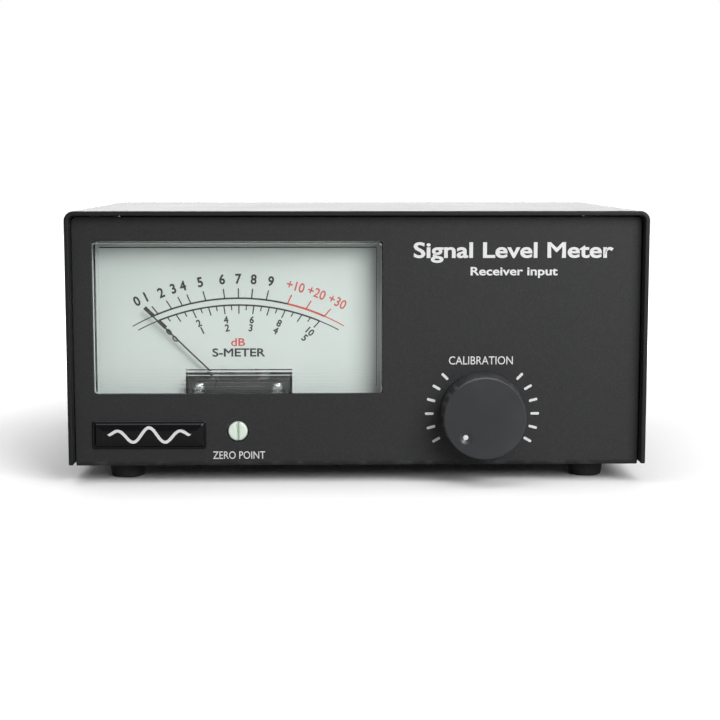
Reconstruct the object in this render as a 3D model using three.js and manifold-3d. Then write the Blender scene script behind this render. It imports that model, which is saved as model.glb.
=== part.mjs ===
// A desk-top signal-strength meter for an amateur radio station: a folded chassis under a folded cover,
// a moving-coil panel meter behind a clear window, a calibration knob on a potentiometer,
// a mechanical zero adjuster under the window and two sockets at the rear.
// Millimetres, +X to the right of someone facing the dial, +Y into the case, +Z up.
// The origin is at the middle of the footprint, on the surface that the feet stand on.

import * as THREE from 'three';
import { mergeVertices } from 'three/addons/utils/BufferGeometryUtils.js';
import Module from 'manifold-3d';

const wasm = await Module();
wasm.setup();

// ---------------------------------------------------------------- driving dimensions

const CASE_WIDTH = 150;
const CASE_HEIGHT = 66.5; // underside of the chassis to the top of the cover
const COVER_DEPTH = 103;
const FOOT_HEIGHT = 4.5;
const SHEET = 1.2; // cover and chassis are folded from the same sheet
const COVER_BEND = 2.5; // outer radius of the cover's two folds
const CHASSIS_BEND = 1.5;
const HOOD = 3; // the cover stands this far in front of the front panel
const REAR_HOOD = 2;
const KNOB_OVERHANG = 6; // the knob's face stands this far in front of the cover
const SLACK = 0.3; // gap between pieces that slide past or sit inside each other

const OVERALL_DEPTH = COVER_DEPTH + KNOB_OVERHANG;
const KNOB_FACE_Y = -OVERALL_DEPTH / 2;
const COVER_FRONT_Y = KNOB_FACE_Y + KNOB_OVERHANG;
const COVER_REAR_Y = OVERALL_DEPTH / 2;
const PANEL_Y = COVER_FRONT_Y + HOOD; // front face of the front panel
const PANEL_BACK_Y = PANEL_Y + SHEET;
const REAR_Y = COVER_REAR_Y - REAR_HOOD; // outer face of the rear panel
const REAR_INNER_Y = REAR_Y - SHEET;
const BASE_Z = FOOT_HEIGHT; // underside of the chassis
const FLOOR_Z = BASE_Z + SHEET; // upper face of the chassis floor
const TOP_Z = BASE_Z + CASE_HEIGHT;
const CHASSIS_HALF = CASE_WIDTH / 2 - SHEET - SLACK;
const CHASSIS_TOP_Z = TOP_Z - SHEET - SLACK;

// Meter: everything is centred on METER_X, and the pointer turns about (METER_X, PIVOT_Z).
const METER_X = -31.25;
const PIVOT_Z = 21.7;
const WINDOW = { width: 75, low: 23.8, high: 63.4, round: 1.4, proud: 1, clearance: 0.25 };
const METER_BODY = { width: 79, low: 9.6, high: 65.4, round: 1.5, wall: 1.5 };
const LENS_BACK_Y = -32;
const METER_BACK_Y = -18;
const DIAL = { front: -38, thickness: 0.5, width: 74.4, low: 16.8, high: 63.4, notch: 28.1, notchTop: 28.4 };
const POINTER_REST_DEG = 45.8; // left of upright
const POINTER_LENGTH = 33.9;
const ZERO_Z = 13.8; // axis of the zero adjuster
const ZERO_ECCENTRIC = 1.2;
const ZERO_HEAD_RADIUS = 2.5;

// Calibration control
const KNOB_X = 32.5;
const KNOB_Z = 18.2;
const KNOB = { baseRadius: 11.1, faceRadius: 10.7, edge: 0.7, gap: 0.9, skirtRadius: 9.4, faceWall: 1.6 };
const KNOB_REST_DEG = 135; // the dot stands this far left of the top, against the stop
const SHAFT_RADIUS = 3;
const BUSHING_RADIUS = 3.5;

// Fastenings and feet
const FOOT = { radius: 5, toe: 4.3, x: 61.5, frontInset: 15, rearInset: 15 };
const FOOT_YS = [COVER_FRONT_Y + FOOT.frontInset, COVER_REAR_Y - FOOT.rearInset];
const SIDE_SCREW_YS = [COVER_FRONT_Y + 35, COVER_REAR_Y - 22];
const SIDE_SCREW_Z = 12.5;
const SCREW_RADIUS = 1.4;
const SCREW_HOLE = 1.6;
const SCREW_TAB = { half: 6, rise: 5.5 }; // on the chassis, inside each cover screw
const FINE = 28; // sides of a large round piece, a middling one, and a small one or a drilled hole
const ROUND = 18;
const SMALL = 10;

// Rear sockets
const SOCKET_Z = 30;
const SIGNAL_X = 18;
const POWER_X = 44;

// ---------------------------------------------------------------- materials

function paint(color, roughness, metalness = 0, extra = {}) {
  return new THREE.MeshStandardMaterial({ color, roughness, metalness, ...extra });
}

const finish = {
  blackPaint: paint(0x232426, 0.62),
  rubber: paint(0x121212, 0.9),
  blackScrew: paint(0x1a1a1a, 0.4, 0.6),
  clear: paint(0xe8f2ee, 0.08, 0, { transparent: true, opacity: 0.25 }),
  whitePlastic: paint(0xdde3de, 0.5),
  dialWhite: paint(0xe9efec, 0.7),
  blackPlastic: paint(0x1c1c1d, 0.5),
  steel: paint(0xb9bcc0, 0.3, 1),
  iron: paint(0x4a4c4f, 0.5, 0.9),
  magnet: paint(0x77797c, 0.45, 0.9),
  brass: paint(0xc2a25a, 0.3, 1),
  copper: paint(0xb4532c, 0.4, 0.7),
  pointerBlack: paint(0x161616, 0.6),
  nylon: paint(0xd8e0d6, 0.4),
  knobBlack: paint(0x2a2a2b, 0.5),
  markWhite: paint(0xf4f4f2, 0.6),
  board: paint(0x2c6a3c, 0.5),
  phenolic: paint(0x8a5a34, 0.6),
  lampGlass: paint(0xf2ead2, 0.1, 0, { transparent: true, opacity: 0.5 }),
  badge: paint(0x101011, 0.15),
};

// ---------------------------------------------------------------- solids

// A closed geometry as a manifold-3d solid, for cutting and joining.
function solid(geometry) {
  const bare = geometry.clone();
  bare.deleteAttribute('normal');
  bare.deleteAttribute('uv');
  const merged = mergeVertices(bare, 1e-4);
  return new wasm.Manifold(new wasm.Mesh({
    numProp: 3,
    vertProperties: merged.attributes.position.array,
    triVerts: new Uint32Array(merged.index.array),
  }));
}

// A manifold-3d solid as a flat-shaded geometry.
function geometryOf(made) {
  const { numProp, numVert, vertProperties, triVerts } = made.getMesh();
  const position = new Float32Array(numVert * 3);
  for (let i = 0; i < numVert; i++) {
    position.set(vertProperties.subarray(i * numProp, i * numProp + 3), i * 3);
  }
  const shared = new THREE.BufferGeometry();
  shared.setAttribute('position', new THREE.BufferAttribute(position, 3));
  shared.setIndex(new THREE.BufferAttribute(triVerts, 1));
  const flat = shared.toNonIndexed();
  flat.computeVertexNormals();
  return flat;
}

// A box between two corners.
function block([x0, y0, z0], [x1, y1, z1]) {
  const box = new THREE.BoxGeometry(x1 - x0, y1 - y0, z1 - z0);
  box.translate((x0 + x1) / 2, (y0 + y1) / 2, (z0 + z1) / 2);
  return solid(box);
}

// A profile of [radius, along] pairs turned about the Y axis. It starts and ends on the axis,
// or closes on itself, and runs towards +Y on its outer side.
function turned(profile, sides = ROUND) {
  const points = profile.map(([radius, along]) => new THREE.Vector2(radius, along));
  return solid(new THREE.LatheGeometry(points, sides));
}

// A tube or ring about the Y axis.
function ring(inner, outer, from, to, sides = ROUND) {
  return turned([[inner, from], [outer, from], [outer, to], [inner, to], [inner, from]], sides);
}

// A rod about the Y axis.
function rod(radius, from, to, sides = ROUND) {
  return turned([[0, from], [radius, from], [radius, to], [0, to]], sides);
}

// A shape drawn in X and Z, as thick as the two Y values say.
function plate(shape, from, to, curveSegments = 8) {
  const sheet = new THREE.ExtrudeGeometry(shape, { depth: to - from, bevelEnabled: false, curveSegments });
  sheet.rotateX(Math.PI / 2);
  sheet.translate(0, to, 0);
  return solid(sheet);
}

// A shape drawn in Y and Z, as wide as the two X values say.
function slab(shape, from, to, curveSegments = 4) {
  const sheet = new THREE.ExtrudeGeometry(shape, { depth: to - from, bevelEnabled: false, curveSegments });
  sheet.rotateX(Math.PI / 2);
  sheet.rotateZ(Math.PI / 2);
  sheet.translate(from, 0, 0);
  return solid(sheet);
}

function outline(points) {
  return new THREE.Shape(points.map(([x, y]) => new THREE.Vector2(x, y)));
}

function roundedRectangle(left, right, low, high, radius) {
  const shape = new THREE.Shape();
  shape.moveTo(left + radius, low);
  shape.lineTo(right - radius, low);
  shape.absarc(right - radius, low + radius, radius, -Math.PI / 2, 0, false);
  shape.lineTo(right, high - radius);
  shape.absarc(right - radius, high - radius, radius, 0, Math.PI / 2, false);
  shape.lineTo(left + radius, high);
  shape.absarc(left + radius, high - radius, radius, Math.PI / 2, Math.PI, false);
  shape.lineTo(left, low + radius);
  shape.absarc(left + radius, low + radius, radius, Math.PI, Math.PI * 1.5, false);
  return shape;
}

function hexagon(acrossFlats) {
  const corner = acrossFlats / Math.sqrt(3);
  const points = [];
  for (let i = 0; i < 6; i++) {
    const angle = (i * Math.PI) / 3;
    points.push([corner * Math.cos(angle), corner * Math.sin(angle)]);
  }
  return outline(points);
}

// Turns a solid made about the Y axis so that its +Y end points along the given axis.
const upright = (made) => made.rotate([90, 0, 0]);
const pointingX = (made) => made.rotate([0, 0, -90]);
const pointingMinusX = (made) => made.rotate([0, 0, 90]);

// A pan-head screw whose head's outer face is at 0 and whose tip is at +Y, with a cross recess.
function panHeadScrew({ headRadius, headHeight, shankRadius, length }) {
  const screw = turned([
    [0, 0],
    [headRadius * 0.8, 0],
    [headRadius, headHeight * 0.6],
    [headRadius, headHeight],
    [shankRadius, headHeight],
    [shankRadius, headHeight + length],
    [0, headHeight + length],
  ], SMALL);
  const arm = headRadius * 0.55;
  const blade = headRadius * 0.13;
  const depth = headHeight * 0.6;
  const cross = block([-arm, -1, -blade], [arm, depth, blade])
    .add(block([-blade, -1, -arm], [blade, depth, arm]));
  return screw.subtract(cross);
}

// ---------------------------------------------------------------- assembly helpers

const assembly = new THREE.Group();

function piece(name, made, material, parent = assembly) {
  const mesh = new THREE.Mesh(geometryOf(made), material);
  mesh.name = name;
  parent.add(mesh);
  return mesh;
}

// A group whose origin is on an axis that runs along Y, for the pieces that turn about it.
function axisGroup(x, z, restDegrees = 0) {
  const group = new THREE.Group();
  group.position.set(x, 0, z);
  group.rotation.y = THREE.MathUtils.degToRad(restDegrees);
  assembly.add(group);
  return group;
}

// ---------------------------------------------------------------- case

function arch(halfWidth, top, radius, low) {
  const shape = new THREE.Shape();
  shape.moveTo(-halfWidth, low);
  shape.lineTo(halfWidth, low);
  shape.lineTo(halfWidth, top - radius);
  shape.absarc(halfWidth - radius, top - radius, radius, 0, Math.PI / 2, false);
  shape.lineTo(-halfWidth + radius, top);
  shape.absarc(-halfWidth + radius, top - radius, radius, Math.PI / 2, Math.PI, false);
  return shape;
}

function makeCover() {
  const half = CASE_WIDTH / 2;
  const skirtZ = BASE_Z + 0.8; // the sides stop just above the chassis fold
  const outside = plate(arch(half, TOP_Z, COVER_BEND, skirtZ), COVER_FRONT_Y, COVER_REAR_Y, 6);
  const inside = plate(
    arch(half - SHEET, TOP_Z - SHEET, COVER_BEND - SHEET, skirtZ - 1),
    COVER_FRONT_Y - 1,
    COVER_REAR_Y + 1,
    4,
  );
  let cover = outside.subtract(inside);
  for (const y of SIDE_SCREW_YS) {
    const drill = pointingX(rod(SCREW_HOLE, -half - 1, half + 1, SMALL));
    cover = cover.subtract(drill.translate([0, y, SIDE_SCREW_Z]));
  }
  piece('cover', cover, finish.blackPaint);
}

// The chassis is one folded sheet: front panel, floor and rear panel, with four tabs for the cover screws.
function makeChassis() {
  const bend = CHASSIS_BEND;
  const inner = bend - SHEET;
  const fold = new THREE.Shape();
  fold.moveTo(PANEL_Y, CHASSIS_TOP_Z);
  fold.lineTo(PANEL_Y, BASE_Z + bend);
  fold.absarc(PANEL_Y + bend, BASE_Z + bend, bend, Math.PI, Math.PI * 1.5, false);
  fold.lineTo(REAR_Y - bend, BASE_Z);
  fold.absarc(REAR_Y - bend, BASE_Z + bend, bend, -Math.PI / 2, 0, false);
  fold.lineTo(REAR_Y, CHASSIS_TOP_Z);
  fold.lineTo(REAR_INNER_Y, CHASSIS_TOP_Z);
  fold.lineTo(REAR_INNER_Y, FLOOR_Z + inner);
  fold.absarc(REAR_INNER_Y - inner, FLOOR_Z + inner, inner, 0, -Math.PI / 2, true);
  fold.lineTo(PANEL_BACK_Y + inner, FLOOR_Z);
  fold.absarc(PANEL_BACK_Y + inner, FLOOR_Z + inner, inner, -Math.PI / 2, -Math.PI, true);
  fold.lineTo(PANEL_BACK_Y, CHASSIS_TOP_Z);

  const face = arch(CHASSIS_HALF, CHASSIS_TOP_Z, CHASSIS_BEND, BASE_Z - 1);
  let chassis = slab(fold, -CHASSIS_HALF, CHASSIS_HALF, 4)
    .intersect(plate(face, PANEL_Y - 1, REAR_Y + 1, 4));

  for (const side of [-1, 1]) {
    for (const y of SIDE_SCREW_YS) {
      const x0 = side > 0 ? CHASSIS_HALF - SHEET : -CHASSIS_HALF;
      const low = [x0, y - SCREW_TAB.half, BASE_Z + 0.2];
      const high = [x0 + SHEET, y + SCREW_TAB.half, SIDE_SCREW_Z + SCREW_TAB.rise];
      chassis = chassis.add(block(low, high));
    }
  }
  for (const y of SIDE_SCREW_YS) {
    const drill = pointingX(rod(SCREW_HOLE, -CASE_WIDTH, CASE_WIDTH, SMALL)).translate([0, y, SIDE_SCREW_Z]);
    chassis = chassis.subtract(drill);
  }

  const windowCut = roundedRectangle(
    METER_X - WINDOW.width / 2 - WINDOW.clearance,
    METER_X + WINDOW.width / 2 + WINDOW.clearance,
    WINDOW.low - WINDOW.clearance,
    WINDOW.high + WINDOW.clearance,
    WINDOW.round,
  );
  chassis = chassis
    .subtract(plate(windowCut, PANEL_Y - 1, PANEL_BACK_Y + 1, 3))
    .subtract(rod(ZERO_HEAD_RADIUS + SLACK, PANEL_Y - 1, PANEL_BACK_Y + 1).translate([METER_X, 0, ZERO_Z]))
    .subtract(rod(BUSHING_RADIUS + 0.2, PANEL_Y - 1, PANEL_BACK_Y + 1).translate([KNOB_X, 0, KNOB_Z]))
    .subtract(rod(SIGNAL_JACK.thread + 0.2, REAR_INNER_Y - 1, REAR_Y + 1).translate([SIGNAL_X, 0, SOCKET_Z]))
    .subtract(rod(POWER_JACK.thread + 0.2, REAR_INNER_Y - 1, REAR_Y + 1).translate([POWER_X, 0, SOCKET_Z]));

  const floorHoles = [
    ...FOOT_YS.flatMap((y) => [[-FOOT.x, y], [FOOT.x, y]]),
    ...BRACKET.screwXs.map((x) => [x, BRACKET.screwY]),
    ...BOARD.supports,
  ];
  for (const [x, y] of floorHoles) {
    const hole = upright(rod(SCREW_HOLE, BASE_Z - 1, FLOOR_Z + 1, SMALL)).translate([x, y, 0]);
    chassis = chassis.subtract(hole);
  }
  piece('chassis', chassis, finish.blackPaint);
}

function makeFeet() {
  const hollow = 3.3; // radius of the recess that hides the screw head
  const hollowTop = 2.6;
  const rubber = upright(turned([
    [hollow, 0],
    [FOOT.toe, 0],
    [FOOT.radius, FOOT_HEIGHT],
    [SCREW_HOLE, FOOT_HEIGHT],
    [SCREW_HOLE, hollowTop],
    [hollow, hollowTop],
    [hollow, 0],
  ], ROUND));
  const headHeight = 1.7;
  const screw = upright(panHeadScrew({
    headRadius: 2.7, headHeight, shankRadius: SCREW_RADIUS, length: 6,
  })).translate([0, 0, hollowTop - headHeight]);
  const rows = ['front', 'rear'];
  for (const [row, y] of FOOT_YS.entries()) {
    for (const [side, x] of [['left', -FOOT.x], ['right', FOOT.x]]) {
      piece(`foot_${rows[row]}_${side}`, rubber.translate([x, y, 0]), finish.rubber);
      piece(`foot_screw_${rows[row]}_${side}`, screw.translate([x, y, 0]), finish.steel);
    }
  }
}

function makeCoverScrews() {
  const headHeight = 1.6;
  const screw = panHeadScrew({ headRadius: 2.75, headHeight, shankRadius: SCREW_RADIUS, length: 5 });
  const rows = ['front', 'rear'];
  for (const [row, y] of SIDE_SCREW_YS.entries()) {
    const reach = CASE_WIDTH / 2 + headHeight;
    const left = pointingX(screw).translate([-reach, y, SIDE_SCREW_Z]);
    const right = pointingMinusX(screw).translate([reach, y, SIDE_SCREW_Z]);
    piece(`cover_screw_${rows[row]}_left`, left, finish.blackScrew);
    piece(`cover_screw_${rows[row]}_right`, right, finish.blackScrew);
  }
}

function makeBadge() {
  const badge = { left: -69.1, right: -39.5, low: 9.2, high: 16.5, thickness: 1 };
  const shape = roundedRectangle(badge.left, badge.right, badge.low, badge.high, 0.5);
  piece('front_badge', plate(shape, PANEL_Y - badge.thickness, PANEL_Y, 3), finish.badge);
}

// ---------------------------------------------------------------- meter body

const meterBox = (grow, from, to, round = METER_BODY.round) => plate(
  roundedRectangle(
    METER_X - METER_BODY.width / 2 - grow,
    METER_X + METER_BODY.width / 2 + grow,
    METER_BODY.low - grow,
    METER_BODY.high + grow,
    Math.max(round + grow, 0.4),
  ),
  from,
  to,
  3,
);

const windowBox = (grow, from, to) => plate(
  roundedRectangle(
    METER_X - WINDOW.width / 2 - grow,
    METER_X + WINDOW.width / 2 + grow,
    WINDOW.low - grow,
    WINDOW.high + grow,
    Math.max(WINDOW.round + grow, 0.4),
  ),
  from,
  to,
  3,
);

const LENS_FRONT_Y = PANEL_Y - WINDOW.proud;
const LENS_PANE = 1.8; // thickness of the window's front wall
const LENS_FLANGE_Y = PANEL_BACK_Y + 0.1; // front of the flange, against the back of the panel
const LENS_INNER_Y = LENS_FLANGE_Y + METER_BODY.wall; // inner face of the flange
const NECK_RADIUS = 2; // the zero adjuster turns in a hole of this radius in the flange

// Clear cover: a flange behind the panel and a raised window that fills the panel's opening.
function makeLens() {
  const wall = METER_BODY.wall;
  const lens = meterBox(0, LENS_FLANGE_Y, LENS_BACK_Y)
    .add(windowBox(0, LENS_FRONT_Y, LENS_FLANGE_Y + 0.5))
    .subtract(meterBox(-wall, LENS_INNER_Y, LENS_BACK_Y + 1))
    .subtract(windowBox(-wall, LENS_FRONT_Y + LENS_PANE, LENS_INNER_Y + 1))
    .subtract(rod(NECK_RADIUS, LENS_FLANGE_Y - 1, LENS_INNER_Y + 1, SMALL).translate([METER_X, 0, ZERO_Z]));
  piece('meter_lens', lens, finish.clear);
}

const DIAL_BOSS = { x: 30, z: 19.8, radius: 2.6, hole: 1.1 };
const TERMINAL = { x: 12, z: 39, radius: 1.5, inside: 4, length: 8, collar: 3, collarThickness: 1.6 };
const LAMP = { z: 53, radius: 2.1, length: 8, boardHalf: 9, boardRise: 5, boardThickness: 1.6 };

// Rear case of the meter: a tray that closes the clear cover, with two bosses that carry the dial.
function makeMeterCase() {
  const wall = METER_BODY.wall;
  const frontY = LENS_BACK_Y + SLACK;
  const inner = METER_BACK_Y - wall;
  let tray = meterBox(0, frontY, METER_BACK_Y).subtract(meterBox(-wall, frontY - 1, inner));
  const dialBack = DIAL.front + DIAL.thickness;
  for (const side of [-1, 1]) {
    const x = METER_X + side * DIAL_BOSS.x;
    tray = tray
      .add(rod(DIAL_BOSS.radius, dialBack, inner + 0.5, SMALL).translate([x, 0, DIAL_BOSS.z]))
      .subtract(rod(DIAL_BOSS.hole, dialBack - 1, dialBack + 6, SMALL).translate([x, 0, DIAL_BOSS.z]))
      .subtract(rod(TERMINAL.radius + 0.2, inner - 1, METER_BACK_Y + 1, SMALL)
        .translate([METER_X + side * TERMINAL.x, 0, TERMINAL.z]));
  }
  const lampHole = rod(LAMP.radius + 0.2, inner - 1, METER_BACK_Y + 1, SMALL);
  tray = tray.subtract(lampHole.translate([METER_X, 0, LAMP.z]));
  piece('meter_case', tray, finish.whitePlastic);
}

function makeDial() {
  const half = DIAL.width / 2;
  const notch = DIAL.notch / 2;
  const shape = outline([
    [METER_X - half, DIAL.low],
    [METER_X - notch, DIAL.low],
    [METER_X - notch, DIAL.notchTop],
    [METER_X + notch, DIAL.notchTop],
    [METER_X + notch, DIAL.low],
    [METER_X + half, DIAL.low],
    [METER_X + half, DIAL.high],
    [METER_X - half, DIAL.high],
  ]);
  let dial = plate(shape, DIAL.front, DIAL.front + DIAL.thickness);
  const headHeight = 0.9;
  const screw = panHeadScrew({ headRadius: 1.9, headHeight, shankRadius: 0.9, length: 5 });
  for (const [side, name] of [[-1, 'left'], [1, 'right']]) {
    const x = METER_X + side * DIAL_BOSS.x;
    const drill = rod(DIAL_BOSS.hole + 0.1, DIAL.front - 1, DIAL.front + 1, SMALL);
    dial = dial.subtract(drill.translate([x, 0, DIAL_BOSS.z]));
    piece(`dial_screw_${name}`, screw.translate([x, DIAL.front - headHeight, DIAL_BOSS.z]), finish.steel);
  }
  piece('dial_plate', dial, finish.dialWhite);
}

function makeTerminalsAndLamp() {
  for (const [side, name] of [[-1, 'minus'], [1, 'plus']]) {
    const at = [METER_X + side * TERMINAL.x, 0, TERMINAL.z];
    const inside = METER_BACK_Y - TERMINAL.inside;
    const collarBack = METER_BACK_Y + TERMINAL.collarThickness;
    const end = METER_BACK_Y + TERMINAL.length;
    const post = turned([
      [0, inside],
      [TERMINAL.radius, inside],
      [TERMINAL.radius, METER_BACK_Y],
      [TERMINAL.collar, METER_BACK_Y],
      [TERMINAL.collar, collarBack],
      [TERMINAL.radius, collarBack],
      [TERMINAL.radius, end],
      [0, end],
    ], SMALL);
    piece(`terminal_${name}`, post.translate(at), finish.brass);
  }
  const tip = METER_BACK_Y - LAMP.length;
  const bulb = turned([
    [0, tip],
    [LAMP.radius * 0.6, tip + 0.4],
    [LAMP.radius, tip + LAMP.radius],
    [LAMP.radius, METER_BACK_Y],
    [0, METER_BACK_Y],
  ], SMALL).translate([METER_X, 0, LAMP.z]);
  piece('meter_lamp', bulb, finish.lampGlass);
  const boardFront = METER_BACK_Y + 0.1;
  const holder = block(
    [METER_X - LAMP.boardHalf, boardFront, LAMP.z - LAMP.boardRise],
    [METER_X + LAMP.boardHalf, boardFront + LAMP.boardThickness, LAMP.z + LAMP.boardRise],
  );
  piece('lamp_board', holder, finish.phenolic);
}

// A folded bracket on the chassis floor presses the meter against the front panel.
const BRACKET = { half: 18, screwXs: [METER_X - 10, METER_X + 10], screwY: -9, toe: 5, top: 30 };

function makeMeterBracket() {
  const faceY = METER_BACK_Y + 0.1;
  const profile = outline([
    [faceY, BRACKET.top],
    [faceY, FLOOR_Z],
    [BRACKET.screwY + BRACKET.toe, FLOOR_Z],
    [BRACKET.screwY + BRACKET.toe, FLOOR_Z + SHEET],
    [faceY + SHEET, FLOOR_Z + SHEET],
    [faceY + SHEET, BRACKET.top],
  ]);
  let bracket = slab(profile, METER_X - BRACKET.half, METER_X + BRACKET.half);
  const headHeight = 1.7;
  const screw = upright(panHeadScrew({
    headRadius: 2.6, headHeight, shankRadius: SCREW_RADIUS, length: 3.2,
  })).rotate([180, 0, 0]).translate([0, 0, FLOOR_Z + SHEET + headHeight]);
  for (const [index, x] of BRACKET.screwXs.entries()) {
    bracket = bracket.subtract(upright(rod(SCREW_HOLE, 0, 20, SMALL)).translate([x, BRACKET.screwY, 0]));
    const name = `bracket_screw_${index ? 'right' : 'left'}`;
    piece(name, screw.translate([x, BRACKET.screwY, 0]), finish.steel);
  }
  piece('meter_bracket', bracket, finish.steel);
}

// ---------------------------------------------------------------- moving-coil movement

// Depths along the pivot axis, from the front bridge to the rear bridge.
const BRIDGE = { front: -42.2, back: -41.2, ear: 0.5 };
const LEVER = { front: -41.1, back: -40.8 };
const FRONT_SPRING = { front: -40.6, back: -40.2 };
const POINTER = { front: -39.9, back: -39.5, width: 0.36 };
const CORE = { front: -37.2, back: -27.2, radius: 6.2 };
const YOKE = { inner: 7.8, outer: 9.4 };
const COIL = { front: -38.6, back: -25.8, thick: 0.9, wide: 2.4, halfLength: 7.25, winding: 0.7 };
const REAR_SPRING = { front: -24.9, back: -24.5 };
const REAR_BRIDGE = { front: -23, back: -21.8 };
const POST = { x: 10.2, z: 2.7, radius: 2.2 }; // carry the front bridge, measured from the pivot
const REAR_POST = { x: 11.4, radius: 1.6 };
const FRAME = { half: 13.4, low: -10.1, high: 11.5, legWidth: 3, legLow: 6 };
const FRONT_JEWEL = { head: -42.5, slotDepth: 0.4, end: -40.75, cup: -41.3 };
const REAR_JEWEL = { head: -21, slotDepth: 0.4, end: -23.8, cup: -23.2 };
const HAIRSPRING = { inner: 1.2, outer: 4.2, band: 0.25 };
const JEWEL_RADIUS = 1.1;
const STAFF_RADIUS = 0.5;

// A flat spiral band about the Y axis, as a hairspring is.
function spiral({ turns, from, to, startDegrees }) {
  const { inner, outer, band } = HAIRSPRING;
  const steps = Math.round(turns * 12);
  const inside = [];
  const outside = [];
  for (let i = 0; i <= steps; i++) {
    const share = i / steps;
    const angle = THREE.MathUtils.degToRad(startDegrees) + share * turns * Math.PI * 2;
    const radius = inner + (outer - inner) * share;
    inside.push([(radius - band / 2) * Math.cos(angle), (radius - band / 2) * Math.sin(angle)]);
    outside.push([(radius + band / 2) * Math.cos(angle), (radius + band / 2) * Math.sin(angle)]);
  }
  return plate(outline([...inside, ...outside.reverse()]), from, to);
}

function makeFixedMovement(group) {
  // Soft-iron return ring. Two inner ribs, above and below the coil's sweep, seat the core.
  let yoke = ring(YOKE.inner, YOKE.outer, CORE.front, CORE.back, FINE);
  for (const side of [-1, 1]) {
    const low = Math.min(side * (CORE.radius + 0.1), side * (YOKE.inner + 0.4));
    const rib = block([-1.8, CORE.front, low], [1.8, CORE.back, low + YOKE.inner + 0.3 - CORE.radius]);
    yoke = yoke.add(rib);
  }
  yoke = yoke.subtract(rod(CORE.radius + 0.1, CORE.front - 1, CORE.back + 1, FINE));
  for (const side of [-1, 1]) {
    const notch = rod(POST.radius + 0.1, CORE.front - 1, CORE.front + 1.2, SMALL);
    yoke = yoke.subtract(notch.translate([side * POST.x, 0, POST.z]));
  }
  piece('yoke_ring', yoke, finish.iron, group);
  piece('core_magnet', rod(CORE.radius, CORE.front, CORE.back, FINE), finish.magnet, group);

  // Black moulded frame around the ring, with posts to the two bridges and legs to the meter case.
  const legBack = METER_BACK_Y - METER_BODY.wall - 0.1;
  let frame = block([-FRAME.half, CORE.front + 0.4, FRAME.low], [FRAME.half, CORE.back, FRAME.high])
    .subtract(rod(YOKE.outer + 0.1, CORE.front - 1, CORE.back + 1, FINE));
  for (const side of [-1, 1]) {
    frame = frame
      .add(rod(POST.radius, BRIDGE.back, CORE.front + 1, SMALL).translate([side * POST.x, 0, POST.z]))
      .subtract(rod(0.85, BRIDGE.back - 1, BRIDGE.back + 5, SMALL).translate([side * POST.x, 0, POST.z]))
      .add(rod(REAR_POST.radius, CORE.back - 0.5, REAR_BRIDGE.front, SMALL)
        .translate([side * REAR_POST.x, 0, 0]))
      .add(block(
        [side * FRAME.half - (side > 0 ? FRAME.legWidth : 0), CORE.back - 0.5, FRAME.legLow],
        [side * FRAME.half + (side > 0 ? 0 : FRAME.legWidth), legBack, FRAME.high],
      ));
  }
  piece('movement_frame', frame, finish.blackPlastic, group);

  // Front bridge: a trapezoid with thin ears on the posts.
  const face = outline([[-8.6, -4.6], [8.6, -4.6], [5.1, 6.2], [-5.1, 6.2]]);
  const ears = outline([[-13, 0.2], [13, 0.2], [13, 5.4], [-13, 5.4]]);
  let bridge = plate(face, BRIDGE.front, BRIDGE.back)
    .add(plate(ears, BRIDGE.back - BRIDGE.ear, BRIDGE.back))
    .subtract(rod(JEWEL_RADIUS + 0.1, BRIDGE.front - 1, BRIDGE.back + 1, SMALL));
  const headHeight = 0.8;
  const screw = panHeadScrew({ headRadius: 1.7, headHeight, shankRadius: 0.7, length: 4 });
  for (const [side, name] of [[-1, 'left'], [1, 'right']]) {
    const at = [side * POST.x, 0, POST.z];
    bridge = bridge.subtract(rod(0.9, BRIDGE.front - 1, BRIDGE.back + 1, SMALL).translate(at));
    const seat = BRIDGE.back - BRIDGE.ear - headHeight;
    piece(`movement_screw_${name}`, screw.translate([at[0], seat, at[2]]), finish.steel, group);
  }
  piece('front_bridge', bridge, finish.blackPlastic, group);

  const rearShape = roundedRectangle(-FRAME.half, FRAME.half, -3, 3, 1);
  const rearBridge = plate(rearShape, REAR_BRIDGE.front + 0.05, REAR_BRIDGE.back, 3)
    .subtract(rod(JEWEL_RADIUS + 0.1, REAR_BRIDGE.front - 1, REAR_BRIDGE.back + 1, SMALL));
  piece('rear_bridge', rearBridge, finish.brass, group);

  // Jewel screws: a slotted head outside, a cup for the pivot inside.
  const cupRadius = 0.7;
  const slotBottom = FRONT_JEWEL.head + FRONT_JEWEL.slotDepth;
  const frontSlot = block([-2, FRONT_JEWEL.head - 1, -0.15], [2, slotBottom, 0.15]);
  const frontJewel = turned([
    [0, FRONT_JEWEL.head],
    [JEWEL_RADIUS, FRONT_JEWEL.head],
    [JEWEL_RADIUS, FRONT_JEWEL.end],
    [cupRadius, FRONT_JEWEL.end],
    [0, FRONT_JEWEL.cup],
  ], SMALL).subtract(frontSlot);
  const rearSlot = block([-2, REAR_JEWEL.head - REAR_JEWEL.slotDepth, -0.15], [2, REAR_JEWEL.head + 1, 0.15]);
  const rearJewel = turned([
    [0, REAR_JEWEL.cup],
    [cupRadius, REAR_JEWEL.end],
    [JEWEL_RADIUS, REAR_JEWEL.end],
    [JEWEL_RADIUS, REAR_JEWEL.head],
    [0, REAR_JEWEL.head],
  ], SMALL).subtract(rearSlot);
  piece('front_jewel_screw', frontJewel, finish.brass, group);
  piece('rear_jewel_screw', rearJewel, finish.brass, group);
  const spring = spiral({ turns: 2.5, from: REAR_SPRING.front, to: REAR_SPRING.back, startDegrees: 20 });
  piece('rear_hairspring', spring, finish.brass, group);
}

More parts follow.
